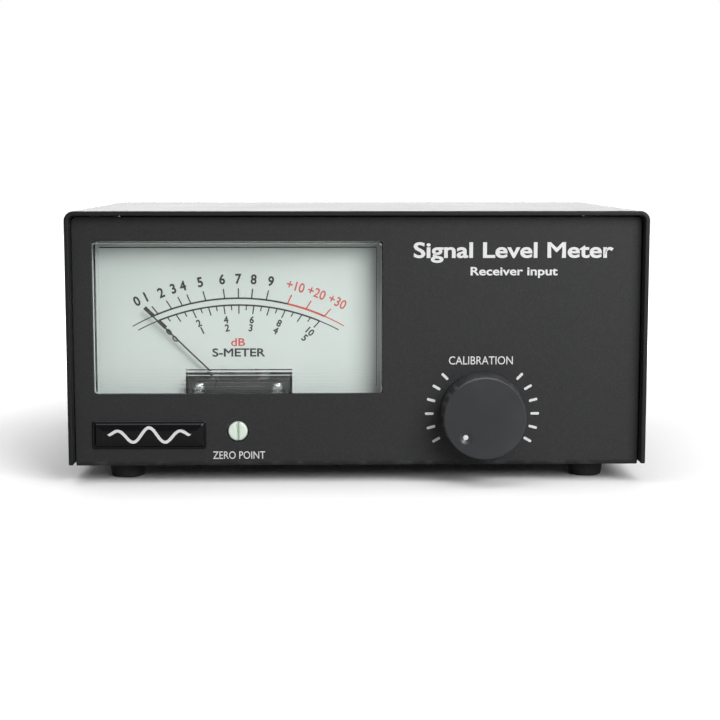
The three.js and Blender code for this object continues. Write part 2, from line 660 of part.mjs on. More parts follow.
// Pointer, coil and pivots, drawn with the pointer upright.
function makeMovingSystem(group) {
  const half = POINTER.width / 2;
  const needle = outline([
    [-half * 2.2, 1.2],
    [half * 2.2, 1.2],
    [half, 12],
    [half, POINTER_LENGTH - 1],
    [0.06, POINTER_LENGTH],
    [-0.06, POINTER_LENGTH],
    [-half, POINTER_LENGTH - 1],
    [-half, 12],
  ]);
  const tail = outline([[-0.35, -1], [-0.35, -4.6], [0.35, -4.6], [0.35, -1]]);
  const weight = roundedRectangle(-1, 1, -6.3, -4.3, 0.3);
  const hub = ring(STAFF_RADIUS + 0.35, 1.6, POINTER.front, POINTER.back, ROUND);
  const pointer = plate(needle, POINTER.front, POINTER.back)
    .add(plate(tail, POINTER.front, POINTER.back))
    .add(plate(weight, POINTER.front - 0.1, POINTER.back + 0.3, 3))
    .add(hub);
  piece('pointer', pointer, finish.pointerBlack, group);

  const long = COIL.halfLength;
  const wide = COIL.wide / 2;
  const coil = block([-long, COIL.front, -wide], [long, COIL.back, wide]).subtract(block(
    [-long + COIL.winding, COIL.front + COIL.thick, -wide - 1],
    [long - COIL.winding, COIL.back - COIL.thick, wide + 1],
  ));
  piece('moving_coil', coil, finish.copper, group);

  // Each staff has a foot on the coil and a point that stays just short of its jewel's cup.
  const footRadius = 1.5;
  const frontShoulder = FRONT_JEWEL.end + 0.05;
  const frontStaff = turned([
    [0, FRONT_JEWEL.cup + 0.2],
    [STAFF_RADIUS * 0.5, frontShoulder],
    [STAFF_RADIUS, frontShoulder],
    [STAFF_RADIUS, POINTER.back + 0.1],
    [footRadius, POINTER.back + 0.1],
    [footRadius, COIL.front],
    [0, COIL.front],
  ], SMALL);
  const rearShoulder = REAR_JEWEL.end - 0.1;
  const rearStaff = turned([
    [0, COIL.back],
    [footRadius, COIL.back],
    [footRadius, COIL.back + 0.6],
    [STAFF_RADIUS, COIL.back + 0.6],
    [STAFF_RADIUS, rearShoulder],
    [STAFF_RADIUS * 0.5, rearShoulder],
    [0, REAR_JEWEL.cup - 0.2],
  ], SMALL);
  piece('front_staff', frontStaff, finish.steel, group);
  piece('rear_staff', rearStaff, finish.steel, group);
}

// The lever turns on the front jewel screw and carries the outer end of the front hairspring.
function makeZeroLever(group) {
  const reach = PIVOT_Z - ZERO_Z;
  const arm = outline([[-0.9, -1.6], [-1.3, -reach - 0.4], [1.3, -reach - 0.4], [0.9, -1.6]]);
  const slot = outline([[-0.6, -reach - 1], [0.6, -reach - 1], [0.6, -reach + 2.4], [-0.6, -reach + 2.4]]);
  const tab = outline([[-0.6, 1.5], [-0.6, 4.6], [0.6, 4.6], [0.6, 1.5]]);
  const lever = ring(JEWEL_RADIUS + 0.15, 2.3, LEVER.front, LEVER.back, ROUND)
    .add(plate(arm, LEVER.front, LEVER.back))
    .add(plate(tab, LEVER.front, LEVER.back))
    .subtract(plate(slot, LEVER.front - 1, LEVER.back + 1));
  piece('zero_lever', lever, finish.brass, group);
  const spring = spiral({ turns: 2.25, from: FRONT_SPRING.front, to: FRONT_SPRING.back, startDegrees: 0 });
  piece('front_hairspring', spring, finish.brass, group);
}

// The adjuster snaps into the lens flange. Its eccentric pin works in the lever's slot.
function makeZeroAdjuster(group) {
  const headFront = PANEL_Y - 0.7;
  const lip = LENS_INNER_Y + 0.15;
  const body = turned([
    [0, headFront],
    [ZERO_HEAD_RADIUS - 0.3, headFront],
    [ZERO_HEAD_RADIUS, headFront + 0.3],
    [ZERO_HEAD_RADIUS, LENS_FLANGE_Y - 0.15],
    [NECK_RADIUS - 0.15, LENS_FLANGE_Y - 0.15],
    [NECK_RADIUS - 0.15, lip],
    [NECK_RADIUS + 0.15, lip],
    [NECK_RADIUS - 0.15, lip + 0.5],
    [0, lip + 0.5],
  ], ROUND);
  const pin = rod(0.45, lip, LEVER.back + 0.3, SMALL).translate([0, 0, ZERO_ECCENTRIC]);
  const slot = block([-0.4, headFront - 1, -3], [0.4, headFront + 0.9, 3]);
  piece('zero_adjuster', body.add(pin).subtract(slot), finish.nylon, group);
}

// ---------------------------------------------------------------- calibration control

const POT = {
  plateFront: PANEL_BACK_Y + 0.1, plateBack: PANEL_BACK_Y + 1.1, canRadius: 8.2, canBack: -35, skin: 0.4,
};
const WAFER = {
  front: POT.plateBack + 0.3, back: POT.plateBack + 1.3, radius: 7.7, tongueHalf: 6.5, tongueEnd: 11.5,
};
const LUGS = { xs: [-5, 0, 5], half: 0.7, root: 11, tip: 16 };
const WIPER = { front: WAFER.back + 0.4, back: WAFER.back + 0.8, hub: 4.5, bore: 1.9, reach: 7 };
const BUSHING_TIP_Y = PANEL_Y - 3.8;
const SHAFT_TIP_Y = KNOB_FACE_Y + KNOB.faceWall + 0.2;

function makePotentiometer(fixed, turning) {
  const bushing = turned([
    [SHAFT_RADIUS + 0.1, BUSHING_TIP_Y],
    [BUSHING_RADIUS, BUSHING_TIP_Y],
    [BUSHING_RADIUS, POT.plateFront],
    [POT.canRadius, POT.plateFront],
    [POT.canRadius, POT.plateBack],
    [SHAFT_RADIUS + 0.1, POT.plateBack],
    [SHAFT_RADIUS + 0.1, BUSHING_TIP_Y],
  ], ROUND);
  piece('pot_bushing', bushing, finish.steel, fixed);

  const half = WAFER.tongueHalf;
  const tongue = block([-half, WAFER.front, 4], [half, WAFER.back, WAFER.tongueEnd]);
  const gap = block(
    [-half - SLACK, WAFER.front - 1, 3],
    [half + SLACK, WAFER.back + 0.2, WAFER.tongueEnd + 0.5],
  );
  const can = turned([
    [0, POT.canBack],
    [POT.canRadius, POT.canBack],
    [POT.canRadius, POT.plateBack + 0.1],
    [POT.canRadius - POT.skin, POT.plateBack + 0.1],
    [POT.canRadius - POT.skin, POT.canBack - POT.skin],
    [0, POT.canBack - POT.skin],
  ].reverse(), ROUND).subtract(gap);
  piece('pot_can', can, finish.steel, fixed);

  let wafer = rod(WAFER.radius, WAFER.front, WAFER.back, ROUND).add(tongue)
    .subtract(rod(WIPER.bore, WAFER.front - 1, WAFER.back + 1, SMALL));
  for (const x of LUGS.xs) {
    const low = [x - LUGS.half, WAFER.front + 0.3, LUGS.root];
    wafer = wafer.add(block(low, [x + LUGS.half, WAFER.front + 0.7, LUGS.tip]));
  }
  piece('pot_wafer', wafer, finish.phenolic, fixed);

  const washerFront = PANEL_Y - 0.5;
  const nutFront = washerFront - 2;
  piece('pot_washer', ring(BUSHING_RADIUS + 0.15, 6.2, washerFront, PANEL_Y, ROUND), finish.steel, fixed);
  const nut = plate(hexagon(10), nutFront, washerFront)
    .subtract(rod(BUSHING_RADIUS + 0.1, nutFront - 1, washerFront + 1, ROUND));
  piece('pot_nut', nut, finish.steel, fixed);

  const spindle = WIPER.bore - 0.2;
  const shaftEnd = WAFER.back + 2;
  const shaft = turned([
    [0, SHAFT_TIP_Y],
    [SHAFT_RADIUS, SHAFT_TIP_Y],
    [SHAFT_RADIUS, POT.plateBack],
    [spindle, POT.plateBack],
    [spindle, shaftEnd],
    [0, shaftEnd],
  ], ROUND);
  piece('pot_shaft', shaft, finish.steel, turning);

  const arm = outline([[-1.5, 2.5], [-1.1, WIPER.reach], [1.1, WIPER.reach], [1.5, 2.5]]);
  const wiper = ring(WIPER.bore, WIPER.hub, WIPER.front, WIPER.back + 0.4, ROUND)
    .add(plate(arm, WIPER.front, WIPER.back));
  piece('pot_wiper', wiper, finish.brass, turning);
}

// The knob is drawn with its dot at the top.
function makeKnob(turning) {
  const baseY = PANEL_Y - KNOB.gap;
  const innerFace = KNOB_FACE_Y + KNOB.faceWall;
  const bossRadius = 5.4;
  const bore = SHAFT_RADIUS + 0.1;
  const bossEnd = BUSHING_TIP_Y - 0.5;
  const shell = turned([
    [0, KNOB_FACE_Y],
    [KNOB.faceRadius - KNOB.edge, KNOB_FACE_Y],
    [KNOB.faceRadius - KNOB.edge * 0.3, KNOB_FACE_Y + KNOB.edge * 0.3],
    [KNOB.faceRadius, KNOB_FACE_Y + KNOB.edge],
    [KNOB.baseRadius, baseY],
    [KNOB.skirtRadius, baseY],
    [KNOB.skirtRadius, innerFace],
    [bossRadius, innerFace],
    [bossRadius, bossEnd],
    [bore, bossEnd],
    [bore, innerFace],
    [0, innerFace],
  ], FINE);
  const dot = { z: 7, radius: 0.9, depth: 0.6 };
  const dimple = rod(dot.radius, KNOB_FACE_Y - 1, KNOB_FACE_Y + dot.depth, SMALL).translate([0, 0, dot.z]);
  piece('knob', shell.subtract(dimple), finish.knobBlack, turning);
  const fill = rod(dot.radius - 0.1, KNOB_FACE_Y + 0.15, KNOB_FACE_Y + dot.depth - 0.02, SMALL);
  piece('knob_dot', fill.translate([0, 0, dot.z]), finish.markWhite, turning);
}

// ---------------------------------------------------------------- rear sockets and board

const SIGNAL_JACK = { thread: 3, bore: 1.8, nut: 4, depth: 12, half: 4.6 };
const POWER_JACK = { thread: 4, bore: 2.8, flats: 10.6, pin: 1.05, depth: 11, half: 5.6 };
const SOCKET_PROUD = 1.8;
const SOCKET_NUT = 1.5; // thickness

// A panel socket: a moulded body behind the panel and a threaded barrel through it, open at the rear.
function socketBody({ thread, bore, depth, half }) {
  const back = REAR_INNER_Y - 0.1;
  return block([-half, back - depth, -half], [half, back, half])
    .add(rod(thread, back - 1, REAR_Y + SOCKET_PROUD, ROUND))
    .subtract(rod(bore, back - depth + 2, REAR_Y + SOCKET_PROUD + 1, ROUND));
}

function makeSockets() {
  const signalAt = [SIGNAL_X, 0, SOCKET_Z];
  const powerAt = [POWER_X, 0, SOCKET_Z];
  const nutEnd = REAR_Y + SOCKET_NUT;
  piece('signal_jack', socketBody(SIGNAL_JACK).translate(signalAt), finish.blackPlastic);
  const signalNut = ring(SIGNAL_JACK.thread + 0.1, SIGNAL_JACK.nut, REAR_Y, nutEnd, ROUND);
  piece('signal_jack_nut', signalNut.translate(signalAt), finish.steel);

  const pin = rod(POWER_JACK.pin, REAR_INNER_Y - POWER_JACK.depth, REAR_Y + 0.6, SMALL);
  piece('power_jack', socketBody(POWER_JACK).add(pin).translate(powerAt), finish.blackPlastic);
  const powerNut = plate(hexagon(POWER_JACK.flats), REAR_Y, nutEnd)
    .subtract(rod(POWER_JACK.thread + 0.1, REAR_Y - 1, nutEnd + 1, ROUND));
  piece('power_jack_nut', powerNut.translate(powerAt), finish.steel);
}

const BOARD = { low: [4, 6], high: [56, 40], z: 12, thickness: 1.6, supports: [[9, 23], [51, 23]] };
const PEG = { radius: 2.6, root: 1.2, neck: 1.3, catch: 1.7 }; // snap-in support of the board

function makeBoard() {
  const top = BOARD.z + BOARD.thickness;
  const tip = top + 1.8;
  let board = block([...BOARD.low, BOARD.z], [...BOARD.high, top]);
  const peg = upright(turned([
    [0, BASE_Z + 0.2],
    [PEG.root, BASE_Z + 0.2],
    [PEG.root, FLOOR_Z],
    [PEG.radius, FLOOR_Z],
    [PEG.radius, BOARD.z],
    [PEG.neck, BOARD.z],
    [PEG.neck, top + SLACK],
    [PEG.catch, top + SLACK],
    [PEG.catch / 2, tip],
    [0, tip],
  ], SMALL));
  for (const [index, [x, y]] of BOARD.supports.entries()) {
    board = board.subtract(upright(rod(PEG.neck + 0.2, BOARD.z - 1, top + 1, SMALL)).translate([x, y, 0]));
    piece(`board_support_${index ? 'right' : 'left'}`, peg.translate([x, y, 0]), finish.nylon);
  }
  piece('circuit_board', board, finish.board);
}

// ---------------------------------------------------------------- the whole meter

makeCover();
makeChassis();
makeFeet();
makeCoverScrews();
makeBadge();

makeLens();
makeMeterCase();
makeDial();
makeTerminalsAndLamp();
makeMeterBracket();

makeFixedMovement(axisGroup(METER_X, PIVOT_Z));
makeMovingSystem(axisGroup(METER_X, PIVOT_Z, -POINTER_REST_DEG));
makeZeroLever(axisGroup(METER_X, PIVOT_Z));
makeZeroAdjuster(axisGroup(METER_X, ZERO_Z));

makePotentiometer(axisGroup(KNOB_X, KNOB_Z), axisGroup(KNOB_X, KNOB_Z, -KNOB_REST_DEG));
makeKnob(axisGroup(KNOB_X, KNOB_Z, -KNOB_REST_DEG));
makeSockets();
makeBoard();

export default assembly;
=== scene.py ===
import math
import bmesh
import bpy
from mathutils import Euler, Matrix, Vector


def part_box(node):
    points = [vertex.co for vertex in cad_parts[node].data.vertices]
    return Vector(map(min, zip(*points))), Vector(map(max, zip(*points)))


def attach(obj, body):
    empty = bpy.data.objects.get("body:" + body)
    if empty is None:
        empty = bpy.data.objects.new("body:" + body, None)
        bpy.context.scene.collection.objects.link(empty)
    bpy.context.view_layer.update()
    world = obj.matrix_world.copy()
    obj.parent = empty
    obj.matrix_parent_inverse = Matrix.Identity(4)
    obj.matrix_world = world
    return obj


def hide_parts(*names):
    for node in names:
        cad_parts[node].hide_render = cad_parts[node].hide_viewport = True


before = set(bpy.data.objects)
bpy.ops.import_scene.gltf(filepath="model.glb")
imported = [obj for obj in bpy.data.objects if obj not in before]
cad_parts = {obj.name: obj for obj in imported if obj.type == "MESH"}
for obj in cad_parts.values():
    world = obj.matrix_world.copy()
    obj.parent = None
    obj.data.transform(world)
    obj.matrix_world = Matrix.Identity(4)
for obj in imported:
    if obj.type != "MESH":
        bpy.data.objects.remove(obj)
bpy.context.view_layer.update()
scene = bpy.context.scene
unit = 0.001  # every size and place below is in millimetres until a mesh is made


def span(node):
    low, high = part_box(node)
    return low / unit, high / unit


def middle(node):
    low, high = span(node)
    return (low + high) / 2


# Camera, lights and floor

studio = {
    "cameraPlace": (-7.7, -458.9, 82.1),
    "cameraTurn": 1.15,
    "cameraTilt": 6.86,
    "lens": 80.1,
    "wallWhite": 1.0,
    "skyHigh": 0.12,
    "skyLow": 0.16,
    "floorSize": 12000,
    "floorWhite": (0.90, 0.90, 0.90),
    "floorBounce": (0.40, 0.40, 0.40),
    # the floor's camera-only glow: it whitens the far floor and, as painted light, hides the object's
    # shadow on its left
    "glowCentre": (50, 0, 0),
    "glowNear": 125,
    "glowFar": 300,
    # name: place, target, width, height, power; only reflections show the card
    "lights": {
        "keyLight": ((330, -560, 360), (0, -45, 40), 420, 420, 5.2),
        "backCard": ((0, 1400, 430), (0, 0, 60), 2600, 900, 37),
        "topLight": ((-60, -60, 900), (0, 0, 0), 900, 900, 6.5),
    },
}


def areaLight(name, place, target, width, height, power):
    lamp = bpy.data.lights.new(name, "AREA")
    lamp.energy = power
    lamp.shape = "RECTANGLE"
    lamp.size = width * unit
    lamp.size_y = height * unit
    light = bpy.data.objects.new(name, lamp)
    light.location = Vector(place) * unit
    light.rotation_euler = (Vector(target) - Vector(place)).to_track_quat("-Z", "Y").to_euler()
    light.visible_camera = False
    light.visible_diffuse = not name.endswith("Card")
    scene.collection.objects.link(light)


def setUpRoom():
    # white where it is looked at; as a light it is bright overhead and dim near the horizon
    world = bpy.data.worlds.new("paleRoom")
    world.use_nodes = True
    nodes, links = world.node_tree.nodes, world.node_tree.links
    sky = nodes["Background"]
    sky.inputs["Color"].default_value = (1, 1, 1, 1)
    way = nodes.new("ShaderNodeTexCoord")
    up = nodes.new("ShaderNodeSeparateXYZ")
    links.new(way.outputs["Generated"], up.inputs[0])
    height = nodes.new("ShaderNodeMapRange")
    height.interpolation_type = "SMOOTHSTEP"
    height.inputs["To Min"].default_value = studio["skyLow"]
    height.inputs["To Max"].default_value = studio["skyHigh"]
    links.new(up.outputs["Z"], height.inputs["Value"])
    look = nodes.new("ShaderNodeLightPath")
    strength = nodes.new("ShaderNodeMapRange")
    strength.inputs["To Max"].default_value = studio["wallWhite"]
    links.new(look.outputs["Is Camera Ray"], strength.inputs["Value"])
    links.new(height.outputs[0], strength.inputs["To Min"])
    links.new(strength.outputs[0], sky.inputs["Strength"])
    scene.world = world


def setUpStudio():
    camera = bpy.data.objects.new("camera", bpy.data.cameras.new("camera"))
    camera.data.lens = studio["lens"]
    camera.data.sensor_width = 36
    camera.location = Vector(studio["cameraPlace"]) * unit
    tilt, turn = math.radians(90 - studio["cameraTilt"]), math.radians(-studio["cameraTurn"])
    camera.rotation_euler = (tilt, 0, turn)
    scene.collection.objects.link(camera)
    scene.camera = camera
    for name, settings in studio["lights"].items():
        areaLight(name, *settings)
    setUpRoom()
    scene.view_settings.view_transform = "Standard"


setUpStudio()
print("studio ready")


# Plain geometry

def rounded(points, steps=6):
    # a closed outline of (a, b) or (a, b, radius) corners, each radius turned into an arc
    line = []
    count = len(points)
    for i, point in enumerate(points):
        here = Vector(point[:2])
        radius = point[2] if len(point) > 2 else 0
        if not radius:
            line.append(here)
            continue
        back = (Vector(points[i - 1][:2]) - here).normalized()
        on = (Vector(points[(i + 1) % count][:2]) - here).normalized()
        half = back.angle(on) / 2
        centre = here + (back + on).normalized() * radius / math.sin(half)
        start = here + back * radius / math.tan(half) - centre
        end = here + on * radius / math.tan(half) - centre
        first = math.atan2(start.y, start.x)
        sweep = (math.atan2(end.y, end.x) - first + math.pi) % (2 * math.pi) - math.pi
        for step in range(steps + 1):
            angle = first + sweep * step / steps
            line.append(centre + Vector((math.cos(angle), math.sin(angle))) * radius)
    return line


def roundedBox(low, high, radius, steps=6):
    corners = [(low[0], low[1]), (high[0], low[1]), (high[0], high[1]), (low[0], high[1])]
    return rounded([(*corner, radius) for corner in corners], steps)


def meshOf(vertices, faces):
    mesh = bpy.data.meshes.new("part")
    mesh.from_pydata([Vector(v) * unit for v in vertices], [], faces)
    return mesh


def faceOutwards(mesh):
    work = bmesh.new()
    work.from_mesh(mesh)
    bmesh.ops.remove_doubles(work, verts=work.verts, dist=0.5e-6)
    bmesh.ops.recalc_face_normals(work, faces=work.faces)
    work.to_mesh(mesh)
    work.free()
    return mesh


def loft(loops, capped=True):
    vertices = [point for loop in loops for point in loop]
    count = len(loops[0])
    faces = []
    for row in range(len(loops) - 1):
        for i in range(count):
            j = (i + 1) % count
            low, high = row * count, (row + 1) * count
            faces.append((low + i, low + j, high + j, high + i))
    if capped:
        faces.append(tuple(reversed(range(count))))
        faces.append(tuple(range(len(vertices) - count, len(vertices))))
    return faceOutwards(meshOf(vertices, faces))


placings = {
    "X": lambda a, b, t: (t, a, b),
    "Y": lambda a, b, t: (a, t, b),
    "Z": lambda a, b, t: (a, b, t),
}


def prism(outline, low, high, along="Y"):
    place = placings[along]
    return loft([[place(a, b, t) for a, b in outline] for t in (low, high)])


def block(low, high):
    return prism(roundedBox(low[:2], high[:2], 0), low[2], high[2], "Z")


def spun(profile, steps=64, closed=False):
    # a profile of (radius, along) turned about the Y axis
    vertices, rings, faces = [], [], []
    for radius, along in profile:
        if radius < 1e-6:
            rings.append([len(vertices)] * steps)
            vertices.append((0, along, 0))
            continue
        rings.append(range(len(vertices), len(vertices) + steps))
        for i in range(steps):
            angle = 2 * math.pi * i / steps
            vertices.append((radius * math.cos(angle), along, radius * math.sin(angle)))
    pairs = list(zip(rings, rings[1:]))
    if closed:
        pairs.append((rings[-1], rings[0]))
    for low, high in pairs:
        for i in range(steps):
            j = (i + 1) % steps
            face = list(dict.fromkeys((low[i], low[j], high[j], high[i])))
            if len(face) > 2:
                faces.append(face)
    return faceOutwards(meshOf(vertices, faces))


def rod(radius, low, high, steps):
    return spun([(0, low), (radius, low), (radius, high), (0, high)], steps)


def moved(mesh, place=(0, 0, 0), turn=(0, 0, 0), size=(1, 1, 1)):
    spot = Matrix.Translation(Vector(place) * unit)
    turning = Euler([math.radians(a) for a in turn]).to_matrix().to_4x4()
    mesh.transform(spot @ turning @ Matrix.Diagonal((*size, 1)))
    return mesh


def joined(*meshes):
    work = bmesh.new()
    for mesh in meshes:
        work.from_mesh(mesh)
    result = bpy.data.meshes.new("part")
    work.to_mesh(result)
    work.free()
    return result


def worker(mesh):
    made = bpy.data.objects.new("worker", mesh)
    scene.collection.objects.link(made)
    return made


def asMesh(made):
    bpy.context.view_layer.update()
    graph = bpy.context.evaluated_depsgraph_get()
    return bpy.data.meshes.new_from_object(made.evaluated_get(graph), depsgraph=graph)


def worked(mesh, *steps):
    # runs modifiers, given as (kind, settings), and returns the plain result
    made = worker(mesh)
    for kind, settings in steps:
        modifier = made.modifiers.new(kind, kind)
        for key, value in settings.items():
            setattr(modifier, key, value)
    result = asMesh(made)
    bpy.data.objects.remove(made)
    return result


def bevelled(mesh, width, segments=2, angle=32):
    return worked(mesh, ("BEVEL", {
        "width": width * unit, "segments": segments, "limit_method": "ANGLE",
        "angle_limit": math.radians(angle), "use_clamp_overlap": True,
    }))


def combined(mesh, other, how="DIFFERENCE"):
    tool = worker(other)
    tool.hide_render = True
    result = worked(mesh, ("BOOLEAN", {"operation": how, "object": tool, "solver": "EXACT"}))
    bpy.data.objects.remove(tool)
    return result


def softened(node, width, segments=2, angle=32):
    # a CAD node's own shape, with its flat faces merged and its edges broken
    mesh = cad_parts[node].data.copy()
    mesh.materials.clear()
    work = bmesh.new()
    work.from_mesh(mesh)
    bmesh.ops.remove_doubles(work, verts=work.verts, dist=1e-6)
    bmesh.ops.dissolve_limit(work, angle_limit=math.radians(1), verts=work.verts, edges=work.edges)
    work.to_mesh(mesh)
    work.free()
    return bevelled(mesh, width, segments, angle)


def show(name, mesh, finish, body, replaced=(), smooth=35):
    # finishes a mesh and adds it to the model; slanted faces, mostly broken edges, are marked, for wear on
    # the case paint and for a painted highlight on the knob
    mesh.shade_smooth()
    mesh.set_sharp_from_angle(angle=math.radians(smooth))
    # large flat faces keep their own normal, so they don't shade towards their broken edges
    mesh = worked(mesh, ("WEIGHTED_NORMAL", {"keep_sharp": True, "weight": 100}))
    mesh.name = name
    mesh.materials.clear()
    mesh.materials.append(finishes[finish])
    for polygon in mesh.polygons:
        polygon.material_index = 0
    edge = mesh.attributes.new("edge", "FLOAT", "FACE")
    slanted = [float(max(abs(c) for c in p.normal) < 0.985) for p in mesh.polygons]
    edge.data.foreach_set("value", slanted)
    piece = bpy.data.objects.new(name, mesh)
    scene.collection.objects.link(piece)
    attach(piece, body)
    if replaced:
        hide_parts(*replaced)
    return piece


# Geometry Nodes

class Graph:
    def __init__(self, name, inputs):
        self.tree = bpy.data.node_groups.new(name, "GeometryNodeTree")
        sockets = self.tree.interface
        sockets.new_socket("Geometry", in_out="INPUT", socket_type="NodeSocketGeometry")
        for label, kind in inputs.items():
            sockets.new_socket(label, in_out="INPUT", socket_type="NodeSocket" + kind)
        sockets.new_socket("Geometry", in_out="OUTPUT", socket_type="NodeSocketGeometry")
        self.entry = self.tree.nodes.new("NodeGroupInput")
        self.exit = self.tree.nodes.new("NodeGroupOutput")

    def given(self, label):
        return self.entry.outputs[label]

    def add(self, kind, settings=None, inputs=None, output=0):
        node = self.tree.nodes.new(kind)
        for key, value in (settings or {}).items():
            setattr(node, key, value)
        for key, value in (inputs or {}).items():
            if isinstance(value, bpy.types.NodeSocket):
                self.tree.links.new(value, node.inputs[key])
            else:
                node.inputs[key].default_value = value
        return node.outputs[output]

    def close(self, geometry):
        real = self.add("GeometryNodeRealizeInstances", None, {0: geometry})
        finished = self.add("GeometryNodeSetMaterial", None, {
            "Geometry": real, "Material": self.given("Finish"),
        })
        self.tree.links.new(finished, self.exit.inputs[0])
        return self.tree


def repeatTree():
    # one shape at every point, turned and sized as the point says
    graph = Graph("repeat", {"Shape": "Object", "Finish": "Material"})
    shape = graph.add("GeometryNodeObjectInfo", None, {"Object": graph.given("Shape")}, "Geometry")
    turn = graph.add("GeometryNodeInputNamedAttribute", {"data_type": "FLOAT_VECTOR"}, {"Name": "turn"})
    size = graph.add("GeometryNodeInputNamedAttribute", {"data_type": "FLOAT_VECTOR"}, {"Name": "size"})
    return graph.close(graph.add("GeometryNodeInstanceOnPoints", None, {
        "Points": graph.given("Geometry"), "Instance": shape, "Rotation": turn, "Scale": size,
    }))


def foldTree():
    # a folded sheet: the path is its middle line, drawn in X and Y, and it is as wide as Width along Z
    graph = Graph("fold", {"Sheet": "Float", "Width": "Float", "Bend": "Float", "Finish": "Material"})
    path = graph.add("GeometryNodeMeshToCurve", None, {0: graph.given("Geometry")})
    bent = graph.add("GeometryNodeFilletCurve", {"mode": "POLY"}, {
        "Curve": path, "Count": 10, "Radius": graph.given("Bend"),
    })
    flat = graph.add("GeometryNodeSetCurveNormal", {"mode": "Z_UP"}, {"Curve": bent})
    section = graph.add("GeometryNodeCurvePrimitiveQuadrilateral", None, {
        "Width": graph.given("Sheet"), "Height": graph.given("Width"),
    })
    return graph.close(graph.add("GeometryNodeCurveToMesh", None, {
        "Curve": flat, "Profile Curve": section, "Fill Caps": True,
    }))


def leadTree():
    # a round lead along a smooth line through the points
    graph = Graph("lead", {"Radius": "Float", "Sides": "Int", "Steps": "Int", "Finish": "Material"})
    path = graph.add("GeometryNodeMeshToCurve", None, {0: graph.given("Geometry")})
    smooth = graph.add("GeometryNodeCurveSplineType", {"spline_type": "CATMULL_ROM"}, {"Curve": path})
    even = graph.add("GeometryNodeResampleCurve", None, {"Curve": smooth, "Count": graph.given("Steps")})
    section = graph.add("GeometryNodeCurvePrimitiveCircle", None, {
        "Resolution": graph.given("Sides"), "Radius": graph.given("Radius"),
    })
    return graph.close(graph.add("GeometryNodeCurveToMesh", None, {
        "Curve": even, "Profile Curve": section, "Fill Caps": True,
    }))


def windingTree():
    # turns of wire side by side, each along the loop that comes in
    graph = Graph("winding", {"Wire": "Float", "Turns": "Int", "Pitch": "Vector", "Start": "Vector",
                              "Finish": "Material"})
    loop = graph.add("GeometryNodeMeshToCurve", None, {0: graph.given("Geometry")})
    section = graph.add("GeometryNodeCurvePrimitiveCircle", None, {
        "Resolution": 8, "Radius": graph.given("Wire"),
    })
    turn = graph.add("GeometryNodeCurveToMesh", None, {"Curve": loop, "Profile Curve": section})
    row = graph.add("GeometryNodeMeshLine", None, {
        "Count": graph.given("Turns"), "Start Location": graph.given("Start"),
        "Offset": graph.given("Pitch"),
    })
    return graph.close(graph.add("GeometryNodeInstanceOnPoints", None, {"Points": row, "Instance": turn}))


def grown(mesh, tree, values):
    made = worker(mesh)
    modifier = made.modifiers.new("grow", "NODES")
    modifier.node_group = tree
    for item in tree.interface.items_tree:
        if item.item_type == "SOCKET" and item.in_out == "INPUT" and item.name in values:
            modifier[item.identifier] = values[item.name]
    result = asMesh(made)
    bpy.data.objects.remove(made)
    return result


trees = {"repeat": repeatTree(), "fold": foldTree(), "lead": leadTree(), "winding": windingTree()}


def lineMesh(points, closed=False):
    count = len(points)
    edges = [(i, (i + 1) % count) for i in range(count if closed else count - 1)]
    mesh = bpy.data.meshes.new("line")
    mesh.from_pydata([Vector(p) * unit for p in points], edges, [])
    return mesh


def repeated(shape, spots, finish):
    # spots are (place, turn in degrees, size)
    points = bpy.data.meshes.new("spots")
    points.from_pydata([Vector(place) * unit for place, turn, size in spots], [], [])
    turns = points.attributes.new("turn", "FLOAT_VECTOR", "POINT")
    sizes = points.attributes.new("size", "FLOAT_VECTOR", "POINT")
    for i, (place, turn, size) in enumerate(spots):
        turns.data[i].vector = [math.radians(a) for a in turn]
        sizes.data[i].vector = size
    master = worker(shape)
    result = grown(points, trees["repeat"], {"Shape": master, "Finish": finishes[finish]})
    bpy.data.objects.remove(master)
    return result


def leads(points, radius, finish, sides=10, steps=60):
    return grown(lineMesh(points), trees["lead"], {
        "Radius": radius * unit, "Sides": sides, "Steps": steps, "Finish": finishes[finish],
    })


# Finishes

chassisLow, chassisHigh = span("chassis")
coverLow, coverHigh = span("cover")
sheet = 1.2
panelFace = chassisLow.y
rearFace = chassisHigh.y


class Value:
    def __init__(self, paint, socket):
        self.paint = paint
        self.socket = socket

    def worked(self, operation, first, second):
        return self.paint.node("ShaderNodeMath", {"operation": operation}, {0: first, 1: second})

    def __add__(self, other):
        return self.worked("ADD", self, other)

    def __radd__(self, other):
        return self.worked("ADD", other, self)

    def __sub__(self, other):
        return self.worked("SUBTRACT", self, other)

    def __rsub__(self, other):
        return self.worked("SUBTRACT", other, self)

    def __mul__(self, other):
        return self.worked("MULTIPLY", self, other)

    def __rmul__(self, other):
        return self.worked("MULTIPLY", other, self)

    def __truediv__(self, other):
        return self.worked("DIVIDE", self, other)

    def __pow__(self, other):
        return self.worked("POWER", self, other)


